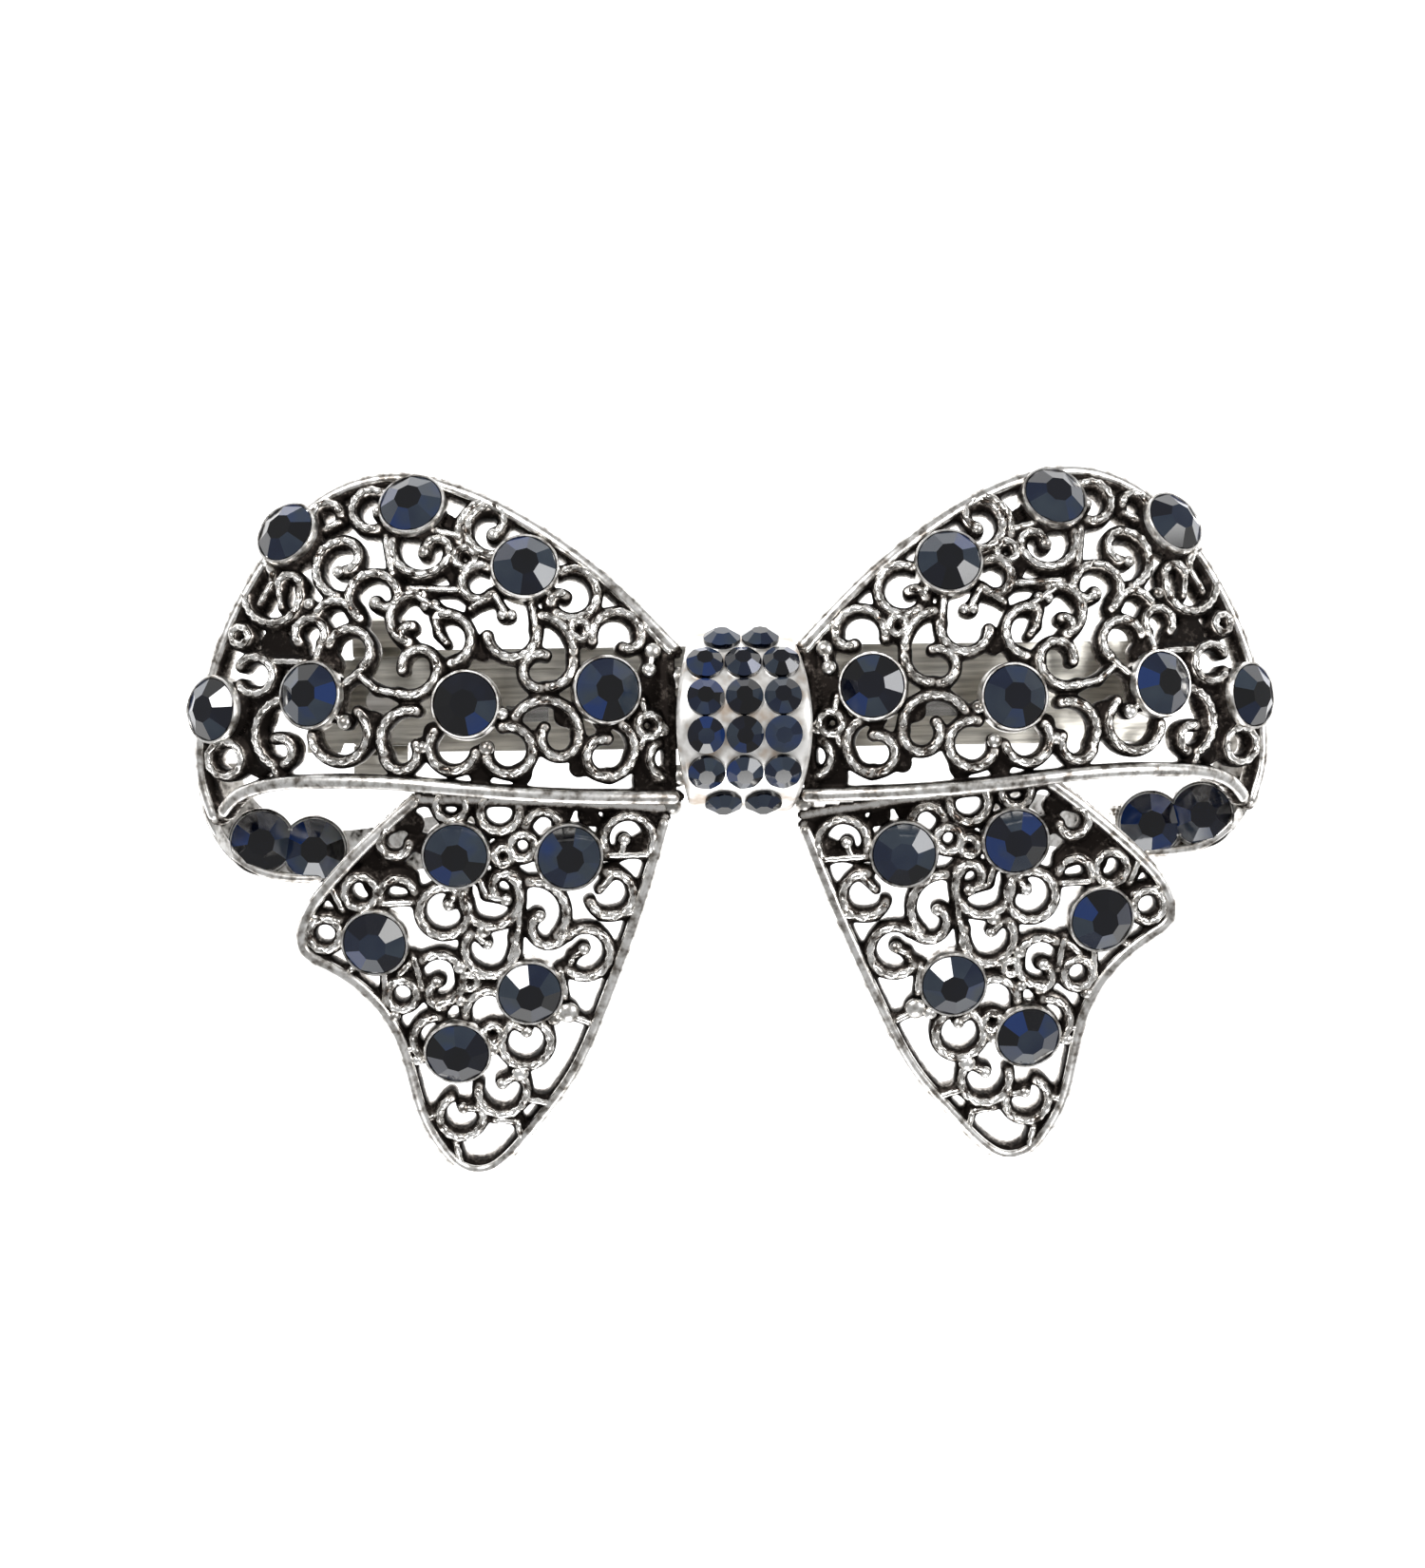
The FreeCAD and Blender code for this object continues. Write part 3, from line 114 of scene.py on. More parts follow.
# Round grains and scroll ends: x, y, radius.
LOOP_GRAINS = [
    (28.9, 17.9, 0.5), (32.2, 13.0, 0.5), (29.2, 10.4, 0.5), (25.2, 14.5, 0.5), (19.6, 15.8, 0.5),
    (25.5, -1.3, 0.5), (6.9, 6.2, 0.7), (7.2, 4.7, 0.6), (34.6, 10.4, 0.5), (25.2, 10.1, 0.4),
    (24.4, 10.2, 0.4), (19.0, 9.3, 0.4), (18.2, 9.3, 0.4), (31.8, 0.8, 0.6), (20.4, -1.4, 0.6),
    (19.1, 1.3, 0.5),
]
LOOP_STONES = [(26.1, 18.2), (36.3, 16.1), (17.1, 13.0), (10.7, 3.1), (22.0, 2.1), (34.4, 3.0), (42.5, 1.9)]
# Borders are smooth curves through the middle of the border.
LOOP_CREST = [(4.9, 6.2), (10.3, 11.7), (16.9, 16.7), (22.7, 19.6), (28.4, 20.6), (33.2, 19.1),
              (38.0, 14.4), (41.8, 7.5), (43.6, 0.9), (43.7, -3.8), (42.7, -7.1)]
LOOP_HEM = [(42.2, -6.7), (41.0, -5.3), (38.8, -4.4), (34.3, -4.0), (28.9, -4.1), (21.4, -4.8), (13.8, -5.4),
            (4.9, -5.6)]

TAIL_SCROLLS = [
    # beside the knot and down the inner edge
    (8.7, -9.3, 2.0, -20, 220), (10.3, -13.7, 1.8, 80, 340), (12.6, -18.4, 2.0, 50, 320),
    (15.6, -8.0, 1.4, 10, 170), (17.3, -9.4, 1.0, -180, 180), (18.9, -10.1, 0.7, -180, 180),
    (19.0, -6.5, 1.6, 170, 420), (22.9, -5.8, 1.2, -180, 180), (27.6, -8.5, 1.2, -170, 80),
    # middle
    (16.7, -15.0, 2.7, 85, 225), (15.5, -16.2, 1.4, -165, 50), (20.0, -13.5, 2.3, 120, 380),
    (18.8, -12.6, 1.1, -40, 150), (23.9, -14.4, 2.0, 140, 490), (20.3, -17.7, 2.1, 160, 400),
    (22.1, -20.2, 0.6, -180, 180), (24.6, -19.9, 2.0, 50, 280), (24.4, -21.2, 1.1, -90, 80),
    # outer point
    (33.7, -15.8, 1.3, -180, 180), (30.6, -12.5, 1.3, -180, 180), (27.6, -12.9, 1.4, -10, 170),
    (27.7, -21.1, 1.2, -180, 180),
    # lower end
    (25.1, -25.0, 1.9, -50, 100), (20.7, -23.0, 1.9, -5, 120), (20.5, -24.7, 0.7, -180, 180),
    (17.8, -25.6, 2.0, 120, 425), (19.9, -29.6, 2.0, 130, 375), (23.4, -31.6, 1.8, 150, 425),
]
TAIL_STRUTS = [
    (9.4, -10.6, 9.0, -9.4), (10.6, -10.5, 6.9, -10.6), (9.9, -11.9, 11.2, -13.3), (10.8, -15.3, 8.4, -15.3),
    (13.9, -19.3, 13.6, -18.7), (13.6, -18.7, 12.7, -18.1), (17.7, -12.0, 17.9, -16.0),
    (17.9, -16.0, 18.8, -18.9), (20.9, -11.9, 20.4, -13.3), (20.4, -13.3, 18.8, -13.7),
    (23.0, -13.1, 23.4, -13.8), (21.5, -16.4, 20.7, -17.2), (26.6, -17.9, 26.0, -20.7),
    (18.8, -24.0, 17.9, -24.5), (19.0, -28.5, 19.9, -29.0), (22.0, -31.0, 23.2, -30.9),
    (20.7, -32.1, 18.8, -32.3), (18.8, -32.3, 18.5, -34.0), (24.0, -33.9, 23.6, -35.8),
    (25.5, -31.4, 26.4, -31.9), (18.0, -30.4, 16.0, -30.9), (33.2, -11.5, 32.1, -13.9),
    (34.8, -14.3, 32.3, -14.8), (29.0, -13.5, 26.3, -13.5), (31.4, -18.6, 32.0, -19.0),
    (29.0, -19.0, 29.1, -21.8), (22.7, -19.7, 19.6, -20.0), (14.7, -19.6, 14.4, -22.0),
    (27.9, -19.5, 26.8, -18.4), (13.9, -23.6, 12.4, -24.3), (26.8, -25.6, 28.0, -25.8),
]
TAIL_GRAINS = [
    (9.0, -9.3, 0.5), (12.7, -18.1, 0.5), (16.2, -15.2, 0.5), (18.8, -13.7, 0.5), (23.5, -13.9, 0.5),
    (20.5, -17.3, 0.4), (24.8, -20.2, 0.5), (17.7, -24.7, 0.5), (19.9, -29.0, 0.5), (23.2, -30.9, 0.5),
    (14.2, -23.3, 0.9), (28.4, -22.8, 0.5), (22.8, -19.0, 0.6), (22.9, -21.8, 0.5), (20.6, -26.0, 0.6),
    (18.4, -28.2, 0.7), (15.4, -23.7, 0.6), (26.7, -26.6, 0.5), (20.8, -16.1, 0.6),
]
TAIL_STONES = [(22.7, -9.8), (13.6, -10.4), (29.6, -16.6), (17.3, -21.3), (23.4, -26.0)]
TAIL_EDGE = [(25.5, -5.0), (29.6, -8.4), (33.4, -12.1), (35.4, -15.2), (35.5, -16.9), (33.8, -18.3),
             (30.4, -20.9), (28.2, -24.4), (27.2, -28.4), (26.4, -31.7), (25.0, -34.4), (23.3, -36.1),
             (21.5, -36.3), (19.7, -35.2), (17.1, -32.3), (14.2, -28.6), (12.1, -24.6), (10.3, -20.4),
             (7.6, -13.5), (5.6, -7.7)]
TAIL_TOP = [(25.5, -5.2), (15.0, -5.9), (5.6, -6.9)]
BAND_STONES = [(39.0, -8.5), (34.7, -9.2)]


# Webs of dark casting between scrolls: x, y, radius.
LOOP_WEBS = [
    (37.6, 7.3, 1.2), (36.0, 6.3, 1.1), (33.0, 5.6, 0.9), (39.0, 1.2, 1.0), (39.6, -0.6, 1.2),
    (39.3, 3.0, 0.8), (39.2, -2.6, 1.0), (29.6, 0.9, 0.8), (24.8, 0.0, 0.7), (20.9, -3.4, 0.9),
    (17.6, -3.6, 0.8), (14.0, 1.1, 0.9), (10.9, 0.6, 0.8), (13.0, -3.2, 0.7), (8.3, -2.6, 0.9),
    (7.6, -4.3, 0.9), (6.2, -4.4, 0.8), (6.3, 2.2, 0.9), (6.1, 4.0, 0.9), (7.3, 3.4, 0.7),
    (6.1, 5.6, 0.7), (5.9, 1.2, 0.7), (22.9, 12.5, 0.5), (31.0, 9.9, 0.7), (22.6, 5.5, 0.7),
    (23.3, 17.2, 0.5), (20.6, 6.2, 0.6),
]
TAIL_WEBS = [
    (29.4, -10.2, 1.0), (31.3, -14.2, 1.0), (28.0, -10.6, 1.0), (32.3, -12.9, 0.9), (27.2, -11.4, 0.9),
    (29.6, -12.0, 0.8), (26.0, -7.2, 0.8), (25.3, -8.9, 0.8), (27.0, -6.8, 0.8), (20.4, -8.3, 0.6),
    (16.6, -6.9, 0.7), (13.8, -6.9, 0.7), (12.0, -7.3, 0.6), (6.9, -7.8, 0.8), (7.6, -9.6, 0.6),
    (9.6, -6.8, 0.8), (11.4, -7.6, 0.5), (21.0, -11.4, 0.5), (26.4, -11.6, 0.5),
]


# ---------------------------------------------------------------- materials
def new_material(name):
    material = bpy.data.materials.new(name)
    material.use_nodes = True
    nodes, links = material.node_tree.nodes, material.node_tree.links
    return material, nodes, links, nodes["Principled BSDF"]


def noise(nodes, links, scale, detail=4.0, roughness=0.6):
    coordinates = nodes.new("ShaderNodeTexCoord")
    texture = nodes.new("ShaderNodeTexNoise")
    texture.inputs["Scale"].default_value = scale
    texture.inputs["Detail"].default_value = detail
    texture.inputs["Roughness"].default_value = roughness
    links.new(coordinates.outputs["Object"], texture.inputs["Vector"])
    return texture.outputs["Fac"]


def ramp(nodes, links, source, stops):
    node = nodes.new("ShaderNodeValToRGB")
    elements = node.color_ramp.elements
    while len(elements) < len(stops):
        elements.new(0.5)
    for element, (position, colour) in zip(elements, stops):
        element.position = position
        element.color = (*colour, 1) if len(colour) == 3 else colour
    links.new(source, node.inputs["Fac"])
    return node.outputs["Color"]


def arithmetic(nodes, links, operation, first, second):
    node = nodes.new("ShaderNodeMath")
    node.operation = operation
    for socket, value in zip(node.inputs, (first, second)):
        if isinstance(value, (int, float)):
            socket.default_value = value
        else:
            links.new(value, socket)
    return node.outputs["Value"]


def bump(nodes, links, principled, height, strength, distance):
    node = nodes.new("ShaderNodeBump")
    node.inputs["Strength"].default_value = strength
    node.inputs["Distance"].default_value = distance
    links.new(height, node.inputs["Height"])
    links.new(node.outputs["Normal"], principled.inputs["Normal"])


def antique_silver():
    """Cast silver whose hollows stay dark with patina: the attribute read here is 1 on rubbed ridges and 0 in
    pits, and it also holds painted shade beside the knot and in the walls of the openings, and painted light
    on the panels' outer walls.
    """
    material, nodes, links, principled = new_material("antique_silver")
    patina_and_painted_light = nodes.new("ShaderNodeAttribute")
    patina_and_painted_light.attribute_name = "patina_and_painted_light"
    fine = noise(nodes, links, 2600.0)
    broad = noise(nodes, links, 700.0)
    mottled = arithmetic(nodes, links, "SUBTRACT", fine, 0.5)
    mottled = arithmetic(nodes, links, "MULTIPLY", mottled, 0.9)
    cloud = arithmetic(nodes, links, "SUBTRACT", broad, 0.5)
    level = arithmetic(nodes, links, "ADD", patina_and_painted_light.outputs["Fac"], mottled)
    level = arithmetic(nodes, links, "ADD", level, cloud)
    # Colour from the patina level, which also carries painted shade and painted light on the walls and beside
    # the knot.
    colour = ramp(nodes, links, level, [(0.06, (0.010, 0.008, 0.007)), (0.28, (0.055, 0.046, 0.040)),
                                        (0.56, (0.40, 0.37, 0.34)), (0.80, (0.88, 0.86, 0.83))])
    links.new(colour, principled.inputs["Base Color"])
    rough = ramp(nodes, links, level, [(0.2, (0.55, 0.55, 0.55)), (0.8, (0.22, 0.22, 0.22))])
    links.new(rough, principled.inputs["Roughness"])
    principled.inputs["Metallic"].default_value = 1.0
    bump(nodes, links, principled, fine, 0.35, 0.00006)
    return material


def ridge_silver(name, dark, rough, grain, metallic=1.0):
    """Rubbed bright silver with a little dark left between grains."""
    material, nodes, links, principled = new_material(name)
    fine = noise(nodes, links, grain, detail=2.5)
    stops = [(0.34, dark), (0.47, (0.62, 0.60, 0.57)), (0.60, (0.93, 0.92, 0.90))]
    colour = ramp(nodes, links, fine, stops)
    links.new(colour, principled.inputs["Base Color"])
    principled.inputs["Metallic"].default_value = metallic
    principled.inputs["Roughness"].default_value = rough
    bump(nodes, links, principled, fine, 0.3, 0.00006)
    return material


def clip_metal(name, colour, rough):
    """Plated strip with faint lengthwise rolling marks."""
    material, nodes, links, principled = new_material(name)
    coordinates = nodes.new("ShaderNodeTexCoord")
    mapping = nodes.new("ShaderNodeMapping")
    mapping.inputs["Scale"].default_value = (120.0, 2600.0, 900.0)
    texture = nodes.new("ShaderNodeTexNoise")
    texture.inputs["Scale"].default_value = 1.0
    texture.inputs["Detail"].default_value = 3.0
    links.new(coordinates.outputs["Object"], mapping.inputs["Vector"])
    links.new(mapping.outputs["Vector"], texture.inputs["Vector"])
    marks = texture.outputs["Fac"]
    darker = tuple(0.55 * channel for channel in colour)
    links.new(ramp(nodes, links, marks, [(0.35, darker), (0.62, colour)]), principled.inputs["Base Color"])
    principled.inputs["Metallic"].default_value = 1.0
    principled.inputs["Roughness"].default_value = rough
    bump(nodes, links, principled, marks, 0.3, 0.00003)
    return material


def crystal_blue():
    """Dark blue foil-backed glass with painted reflections: each facet's brightness, from near black over
    slate to blue flashes, stands in for the light that the foil behind it and the surroundings throw back.
    """
    material, nodes, links, principled = new_material("blue_crystal")
    facet_reflection = nodes.new("ShaderNodeAttribute")
    facet_reflection.attribute_name = "facet_reflection"
    cloud = noise(nodes, links, 420.0, detail=1.0)
    shift = arithmetic(nodes, links, "MULTIPLY", arithmetic(nodes, links, "SUBTRACT", cloud, 0.5), 0.25)
    level = arithmetic(nodes, links, "ADD", facet_reflection.outputs["Fac"], shift)
    # Painted reflection: facet colour from near black to slate and blue flashes, following the facet's level.
    colour = ramp(nodes, links, level, [(0.08, (0.0003, 0.0005, 0.0012)), (0.40, (0.0010, 0.0018, 0.0060)),
                                        (0.66, (0.003, 0.007, 0.021)), (0.88, (0.019, 0.027, 0.038)),
                                        (1.0, (0.005, 0.018, 0.075))])
    links.new(colour, principled.inputs["Base Color"])
    principled.inputs["Metallic"].default_value = 0.0
    principled.inputs["Roughness"].default_value = 0.06
    principled.inputs["IOR"].default_value = 1.56
    return material


def floor_white():
    material, nodes, links, principled = new_material("floor_white")
    grain = noise(nodes, links, 60.0)
    links.new(ramp(nodes, links, grain, [(0.3, (0.90, 0.90, 0.90)), (0.7, (0.93, 0.93, 0.93))]),
              principled.inputs["Base Color"])
    principled.inputs["Roughness"].default_value = 0.8
    principled.inputs["Emission Color"].default_value = (1.0, 1.0, 1.0, 1)
    principled.inputs["Emission Strength"].default_value = 0.55
    return material


SILVER = antique_silver()
RIDGE = ridge_silver("ridge_silver", (0.07, 0.055, 0.045), 0.27, 1100.0)
RIM_SILVER = ridge_silver("rim_silver", (0.20, 0.18, 0.16), 0.30, 1000.0)
KNOT_SILVER = ridge_silver("knot_silver", (0.46, 0.38, 0.31), 0.32, 520.0, metallic=0.72)
GLASS = crystal_blue()
CLIP = clip_metal("clip_plate", (0.58, 0.56, 0.51), 0.30)
SPRING = clip_metal("spring_strip", (0.60, 0.61, 0.63), 0.25)
RIVET = clip_metal("rivet_metal", (0.62, 0.60, 0.57), 0.30)


# ---------------------------------------------------------------- geometry helpers
def shell_frame(kind, x, y):
    """Points on a panel's outer surface and the outward normals, for arrays of x and y in millimetres."""
    radius, cx, cy, top = SHELLS[kind]
    dx, dy = x - cx, y - cy
    rise = np.sqrt(np.maximum(radius ** 2 - dx ** 2 - dy ** 2, 1.0))
    points = np.stack([x, y, top - radius + rise], -1)
    normals = np.stack([dx, dy, rise], -1) / radius
    return points, normals


def to_frame(points, side, kind=None):
    """Right-hand millimetre points, mirrored for the left side and placed as in the CAD, in metres."""
    placed = np.array(points, float)
    placed[..., 0] *= side
    if kind == "tail":
        px, py = side * TAIL_PIVOT[0], TAIL_PIVOT[1]
        dx, dy = placed[..., 0] - px, placed[..., 1] - py
        cos, sin = math.cos(TAIL_TURN), math.sin(TAIL_TURN)
        placed[..., 0] = px + cos * dx - sin * dy + TAIL_SHIFT
        placed[..., 1] = py + sin * dx + cos * dy
    elif kind == "band":
        placed[..., 1] += BAND_SHIFT * side
        placed[..., 2] -= BAND_DROP
    elif kind == "knot":
        placed[..., 0] += KNOT_SHIFT[0]
        placed[..., 1] += KNOT_SHIFT[1]
    placed[..., 1] += KNOT_Y
    return placed * MM


def make_object(name, vertices, faces, material, side=1, smooth=40.0, attributes=None):
    """Mesh object from arrays; faces turn round on the mirrored side so that they still face out."""
    mesh = bpy.data.meshes.new(name)
    if side < 0:
        faces = [tuple(reversed(face)) for face in faces]
    mesh.from_pydata([tuple(v) for v in vertices], [], [tuple(face) for face in faces])
    for key, (domain, values) in (attributes or {}).items():
        layer = mesh.attributes.new(key, "FLOAT", domain)
        layer.data.foreach_set("value", np.asarray(values, np.float32))
    mesh.materials.append(material)
    mesh.update()
    mesh.shade_smooth()
    mesh.set_sharp_from_angle(angle=math.radians(smooth))
    piece = bpy.data.objects.new(name, mesh)
    bpy.context.scene.collection.objects.link(piece)
    return piece


def smooth_curve(points, step):
    """Evenly spaced points along a natural cubic through the given ones."""
    knots = np.array(points, float)
    spans = np.r_[0, np.cumsum(np.linalg.norm(np.diff(knots, axis=0), axis=1))]
    count = len(knots)
    gaps = np.diff(spans)
    system = np.eye(count)
    right = np.zeros_like(knots)
    for k in range(1, count - 1):
        system[k, k - 1:k + 2] = gaps[k - 1], 2 * (gaps[k - 1] + gaps[k]), gaps[k]
        right[k] = 6 * ((knots[k + 1] - knots[k]) / gaps[k] - (knots[k] - knots[k - 1]) / gaps[k - 1])
    bends = np.linalg.solve(system, right)
    at = np.linspace(0, spans[-1], max(3, int(spans[-1] / step)))
    k = np.clip(np.searchsorted(spans, at, side="right") - 1, 0, count - 2)
    h = gaps[k][:, None]
    a = (spans[k + 1] - at)[:, None] / h
    b = 1 - a
    curve = ((a ** 3 - a) * bends[k] + (b ** 3 - b) * bends[k + 1]) * h ** 2 / 6
    return a * knots[k] + b * knots[k + 1] + curve


def arc_points(cx, cy, radius, start, end, step):
    sweep = math.radians(end - start)
    count = max(4, int(abs(sweep) * radius / step))
    angles = math.radians(start) + sweep * np.linspace(0, 1, count)
    return np.stack([cx + radius * np.cos(angles), cy + radius * np.sin(angles)], -1)


def tube(points, normals, across, up, ripple, sides=8, pitch=0.9, taper=0.0, closed=False):
    """Tube along 3-D points. across and up are its half-sizes; ripple cuts a two-strand twist into it."""
    tangents = np.gradient(points, axis=0)
    if closed:
        tangents[0] = tangents[-1] = points[1] - points[-2]
    tangents /= np.linalg.norm(tangents, axis=1)[:, None]
    sideways = np.cross(normals, tangents)
    sideways /= np.linalg.norm(sideways, axis=1)[:, None]
    upward = np.cross(tangents, sideways)
    run = np.r_[0, np.cumsum(np.linalg.norm(np.diff(points, axis=0), axis=1))]
    theta = np.arange(sides) * 2 * math.pi / sides
    swell = 1 + ripple * np.cos(2 * theta[None, :] + 2 * math.pi * run[:, None] / pitch)
    if taper:
        ends = np.minimum(run, run[-1] - run) / taper
        swell *= np.sqrt(np.clip(1 - (1 - np.clip(ends, 0.02, 1)) ** 2, 0.04, 1))[:, None]
    rings = (points[:, None, :]
             + sideways[:, None, :] * (across * np.cos(theta)[None, :] * swell)[..., None]
             + upward[:, None, :] * (up * np.sin(theta)[None, :] * swell)[..., None])
    count = len(points)
    vertices = rings.reshape(-1, 3)
    faces = []
    for k in range(count - 1):
        for j in range(sides):
            n = (j + 1) % sides
            faces.append((k * sides + j, k * sides + n, (k + 1) * sides + n, (k + 1) * sides + j))
    if not closed:
        faces.append(tuple(reversed(range(sides))))
        faces.append(tuple((count - 1) * sides + j for j in range(sides)))
    return vertices, faces


def joined(parts):
    """One vertex list and face list from several."""
    vertices, faces, offset = [], [], 0
    for part_vertices, part_faces in parts:
        vertices.append(np.asarray(part_vertices))
        faces += [tuple(index + offset for index in face) for face in part_faces]
        offset += len(part_vertices)
    return np.concatenate(vertices), faces


def dome(centre, normal, radius, rise, rings=5, sides=16):
    """Round grain sitting on a surface."""
    axis = Vector(normal).normalized()
    turn = axis.to_track_quat("Z", "Y").to_matrix()
    turn = np.array(turn)
    vertices = [np.array(centre) + np.array(axis) * rise]
    for k in range(1, rings + 1):
        angle = k / rings * math.pi / 2
        for j in range(sides):
            around = 2 * math.pi * j / sides
            ring = radius * math.sin(angle)
            local = np.array([ring * math.cos(around), ring * math.sin(around), rise * math.cos(angle)])
            vertices.append(np.array(centre) + turn @ local)
    faces = [(0, 1 + j, 1 + (j + 1) % sides) for j in range(sides)]
    for k in range(rings - 1):
        for j in range(sides):
            n = (j + 1) % sides
            upper, lower = 1 + k * sides, 1 + (k + 1) * sides
            faces.append((upper + j, lower + j, lower + n, upper + n))
    last = 1 + (rings - 1) * sides
    faces.append(tuple(last + j for j in reversed(range(sides))))
    return np.array(vertices), faces


# ---------------------------------------------------------------- cast web of a panel
def arc_distance(x, y, cx, cy, radius, start, end):
    dx, dy = x - cx, y - cy
    ring = np.abs(np.hypot(dx, dy) - radius)
    if end - start >= 359:
        return ring
    middle = math.radians((start + end) / 2)
    half = math.radians((end - start) / 2)
    angle = np.arctan2(dy, dx) - middle
    angle = np.abs((angle + math.pi) % (2 * math.pi) - math.pi)
    tips = [np.hypot(x - cx - radius * math.cos(math.radians(a)), y - cy - radius * math.sin(math.radians(a)))
            for a in (start, end)]
    return np.where(angle <= half, ring, np.minimum(*tips))


def bar_distance(x, y, ax, ay, bx, by):
    length = (bx - ax) ** 2 + (by - ay) ** 2
    along = np.clip(((x - ax) * (bx - ax) + (y - ay) * (by - ay)) / length, 0, 1)
    return np.hypot(x - ax - along * (bx - ax), y - ay - along * (by - ay))


def path_distance(x, y, points):
    """Distance to a dense polyline."""
    best = np.full(x.shape, 99.0)
    for first, last in zip(points[:-1], points[1:]):
        near = bar_distance(x, y, *first, *last)
        best = np.minimum(best, near)
    return best


def beyond_outline(x, y, borders):
    """True for points outside the outline that the borders make end to end, clear of the rim."""
    chain = borders[0]
    rest = list(borders[1:])
    while rest:
        ends = [(np.hypot(*(path[end] - chain[-1])), k, end)
                for k, path in enumerate(rest) for end in (0, -1)]
        _, k, end = min(ends)
        path = rest.pop(k)
        chain = np.concatenate([chain, path if end == 0 else path[::-1]])
    within = np.zeros(np.shape(x), bool)
    near = np.full(np.shape(x), 99.0)
    for (ax, ay), (bx, by) in zip(chain, np.roll(chain, -1, axis=0)):
        crosses = (ay > y) != (by > y)
        within ^= crosses & (x < (bx - ax) * (y - ay) / (by - ay + 1e-12) + ax)
    for path in borders:
        near = np.minimum(near, path_distance(x, y, path))
    return ~within & (near > 0.8 * RIM / 2)


def panel_fields(x, y, scrolls, struts, grains, borders, stones, webs):
    """How far inside the casting each grid point lies, and how close it is to a ridge's crest."""
    blend = 0.21
    inside = np.full(x.shape, 0.0)
    crest = np.full(x.shape, 99.0)

    def add(field):
        np.add(inside, np.exp(np.clip(field, -4, 3) / blend), out=inside)

    for scroll in scrolls:
        gap = arc_distance(x, y, *scroll)
        add(WIRE / 2 + 0.04 - gap)
        crest = np.minimum(crest, gap)
    for strut in struts:
        gap = bar_distance(x, y, *strut)
        add(WIRE / 2 - 0.08 - gap)
        crest = np.minimum(crest, gap + 0.12)
    for gx, gy, radius in grains:
        gap = np.hypot(x - gx, y - gy)
        add(radius - gap)
    for points in borders:
        gap = path_distance(x, y, points)
        add(RIM / 2 - gap)
        crest = np.minimum(crest, gap)
    for sx, sy in stones:
        gap = np.hypot(x - sx, y - sy)
        add(STONE_R + 0.12 - gap)
    for wx, wy, radius in webs:
        add(radius - np.hypot(x - wx, y - wy))
    return blend * np.log(np.maximum(inside, 1e-12)), crest


def cut_grid(x, y, inside):
    """Triangles where inside > 0, with new points on the edge. Returns points, values, faces, links."""
    rows, columns = x.shape
    index = np.arange(rows * columns).reshape(rows, columns)
    a, b = index[:-1, :-1].ravel(), index[:-1, 1:].ravel()
    c, d = index[1:, 1:].ravel(), index[1:, :-1].ravel()
    triangles = np.concatenate([np.stack([a, b, c], 1), np.stack([a, c, d], 1)])
    field = inside.ravel()
    within = field[triangles] > 0
    count = within.sum(1)
    whole = triangles[count == 3]
    flat = np.stack([x.ravel(), y.ravel()], 1)
    total = rows * columns

    def crossing(first, last):
        low, high = np.minimum(first, last), np.maximum(first, last)
        return low.astype(np.int64) * total + high

    one = triangles[count == 1]
    turn = np.argmax(within[count == 1], 1)
    one = np.stack([one[np.arange(len(one)), (turn + k) % 3] for k in range(3)], 1)
    two = triangles[count == 2]
    turn = np.argmin(within[count == 2], 1)
    two = np.stack([two[np.arange(len(two)), (turn + 1 + k) % 3] for k in range(3)], 1)
    keys = np.concatenate([crossing(one[:, 0], one[:, 1]), crossing(one[:, 2], one[:, 0]),
                           crossing(two[:, 1], two[:, 2]), crossing(two[:, 2], two[:, 0])])
    unique, inverse = np.unique(keys, return_inverse=True)
    low, high = unique // total, unique % total
    share = field[low] / (field[low] - field[high])
    share = np.clip(share, 0.04, 0.96)
    edge_points = flat[low] + (flat[high] - flat[low]) * share[:, None]
    used = np.unique(np.concatenate([whole.ravel(), one[:, 0], two[:, 0], two[:, 1]]))
    renumber = np.full(total, -1)
    renumber[used] = np.arange(len(used))
    inverse = inverse + len(used)
    n1, n2 = len(one), len(two)
    first, second = inverse[:n1], inverse[n1:2 * n1]
    third, fourth = inverse[2 * n1:2 * n1 + n2], inverse[2 * n1 + n2:]
    faces = [tuple(face) for face in renumber[whole]]
    faces += list(zip(renumber[one[:, 0]], first, second))
    faces += list(zip(renumber[two[:, 0]], renumber[two[:, 1]], third, fourth))
    links = np.concatenate([np.stack([first, second], 1), np.stack([third, fourth], 1)])
    points = np.concatenate([flat[used], edge_points])
    values = np.concatenate([field[used], np.zeros(len(edge_points))])
    return points, values, faces, links


def outer_edge(points, border):
    """True where a point of the casting's edge lies just outside the panel's border."""
    middle = border.mean(0)
    result = np.zeros(len(points), bool)
    for k, point in enumerate(points):
        gaps = np.hypot(border[:, 0] - point[0], border[:, 1] - point[1])
        near = np.argmin(gaps)
        outwards = np.dot(point - border[near], border[near] - middle)
        result[k] = gaps[near] < 0.7 * RIM and outwards > 0
    return result


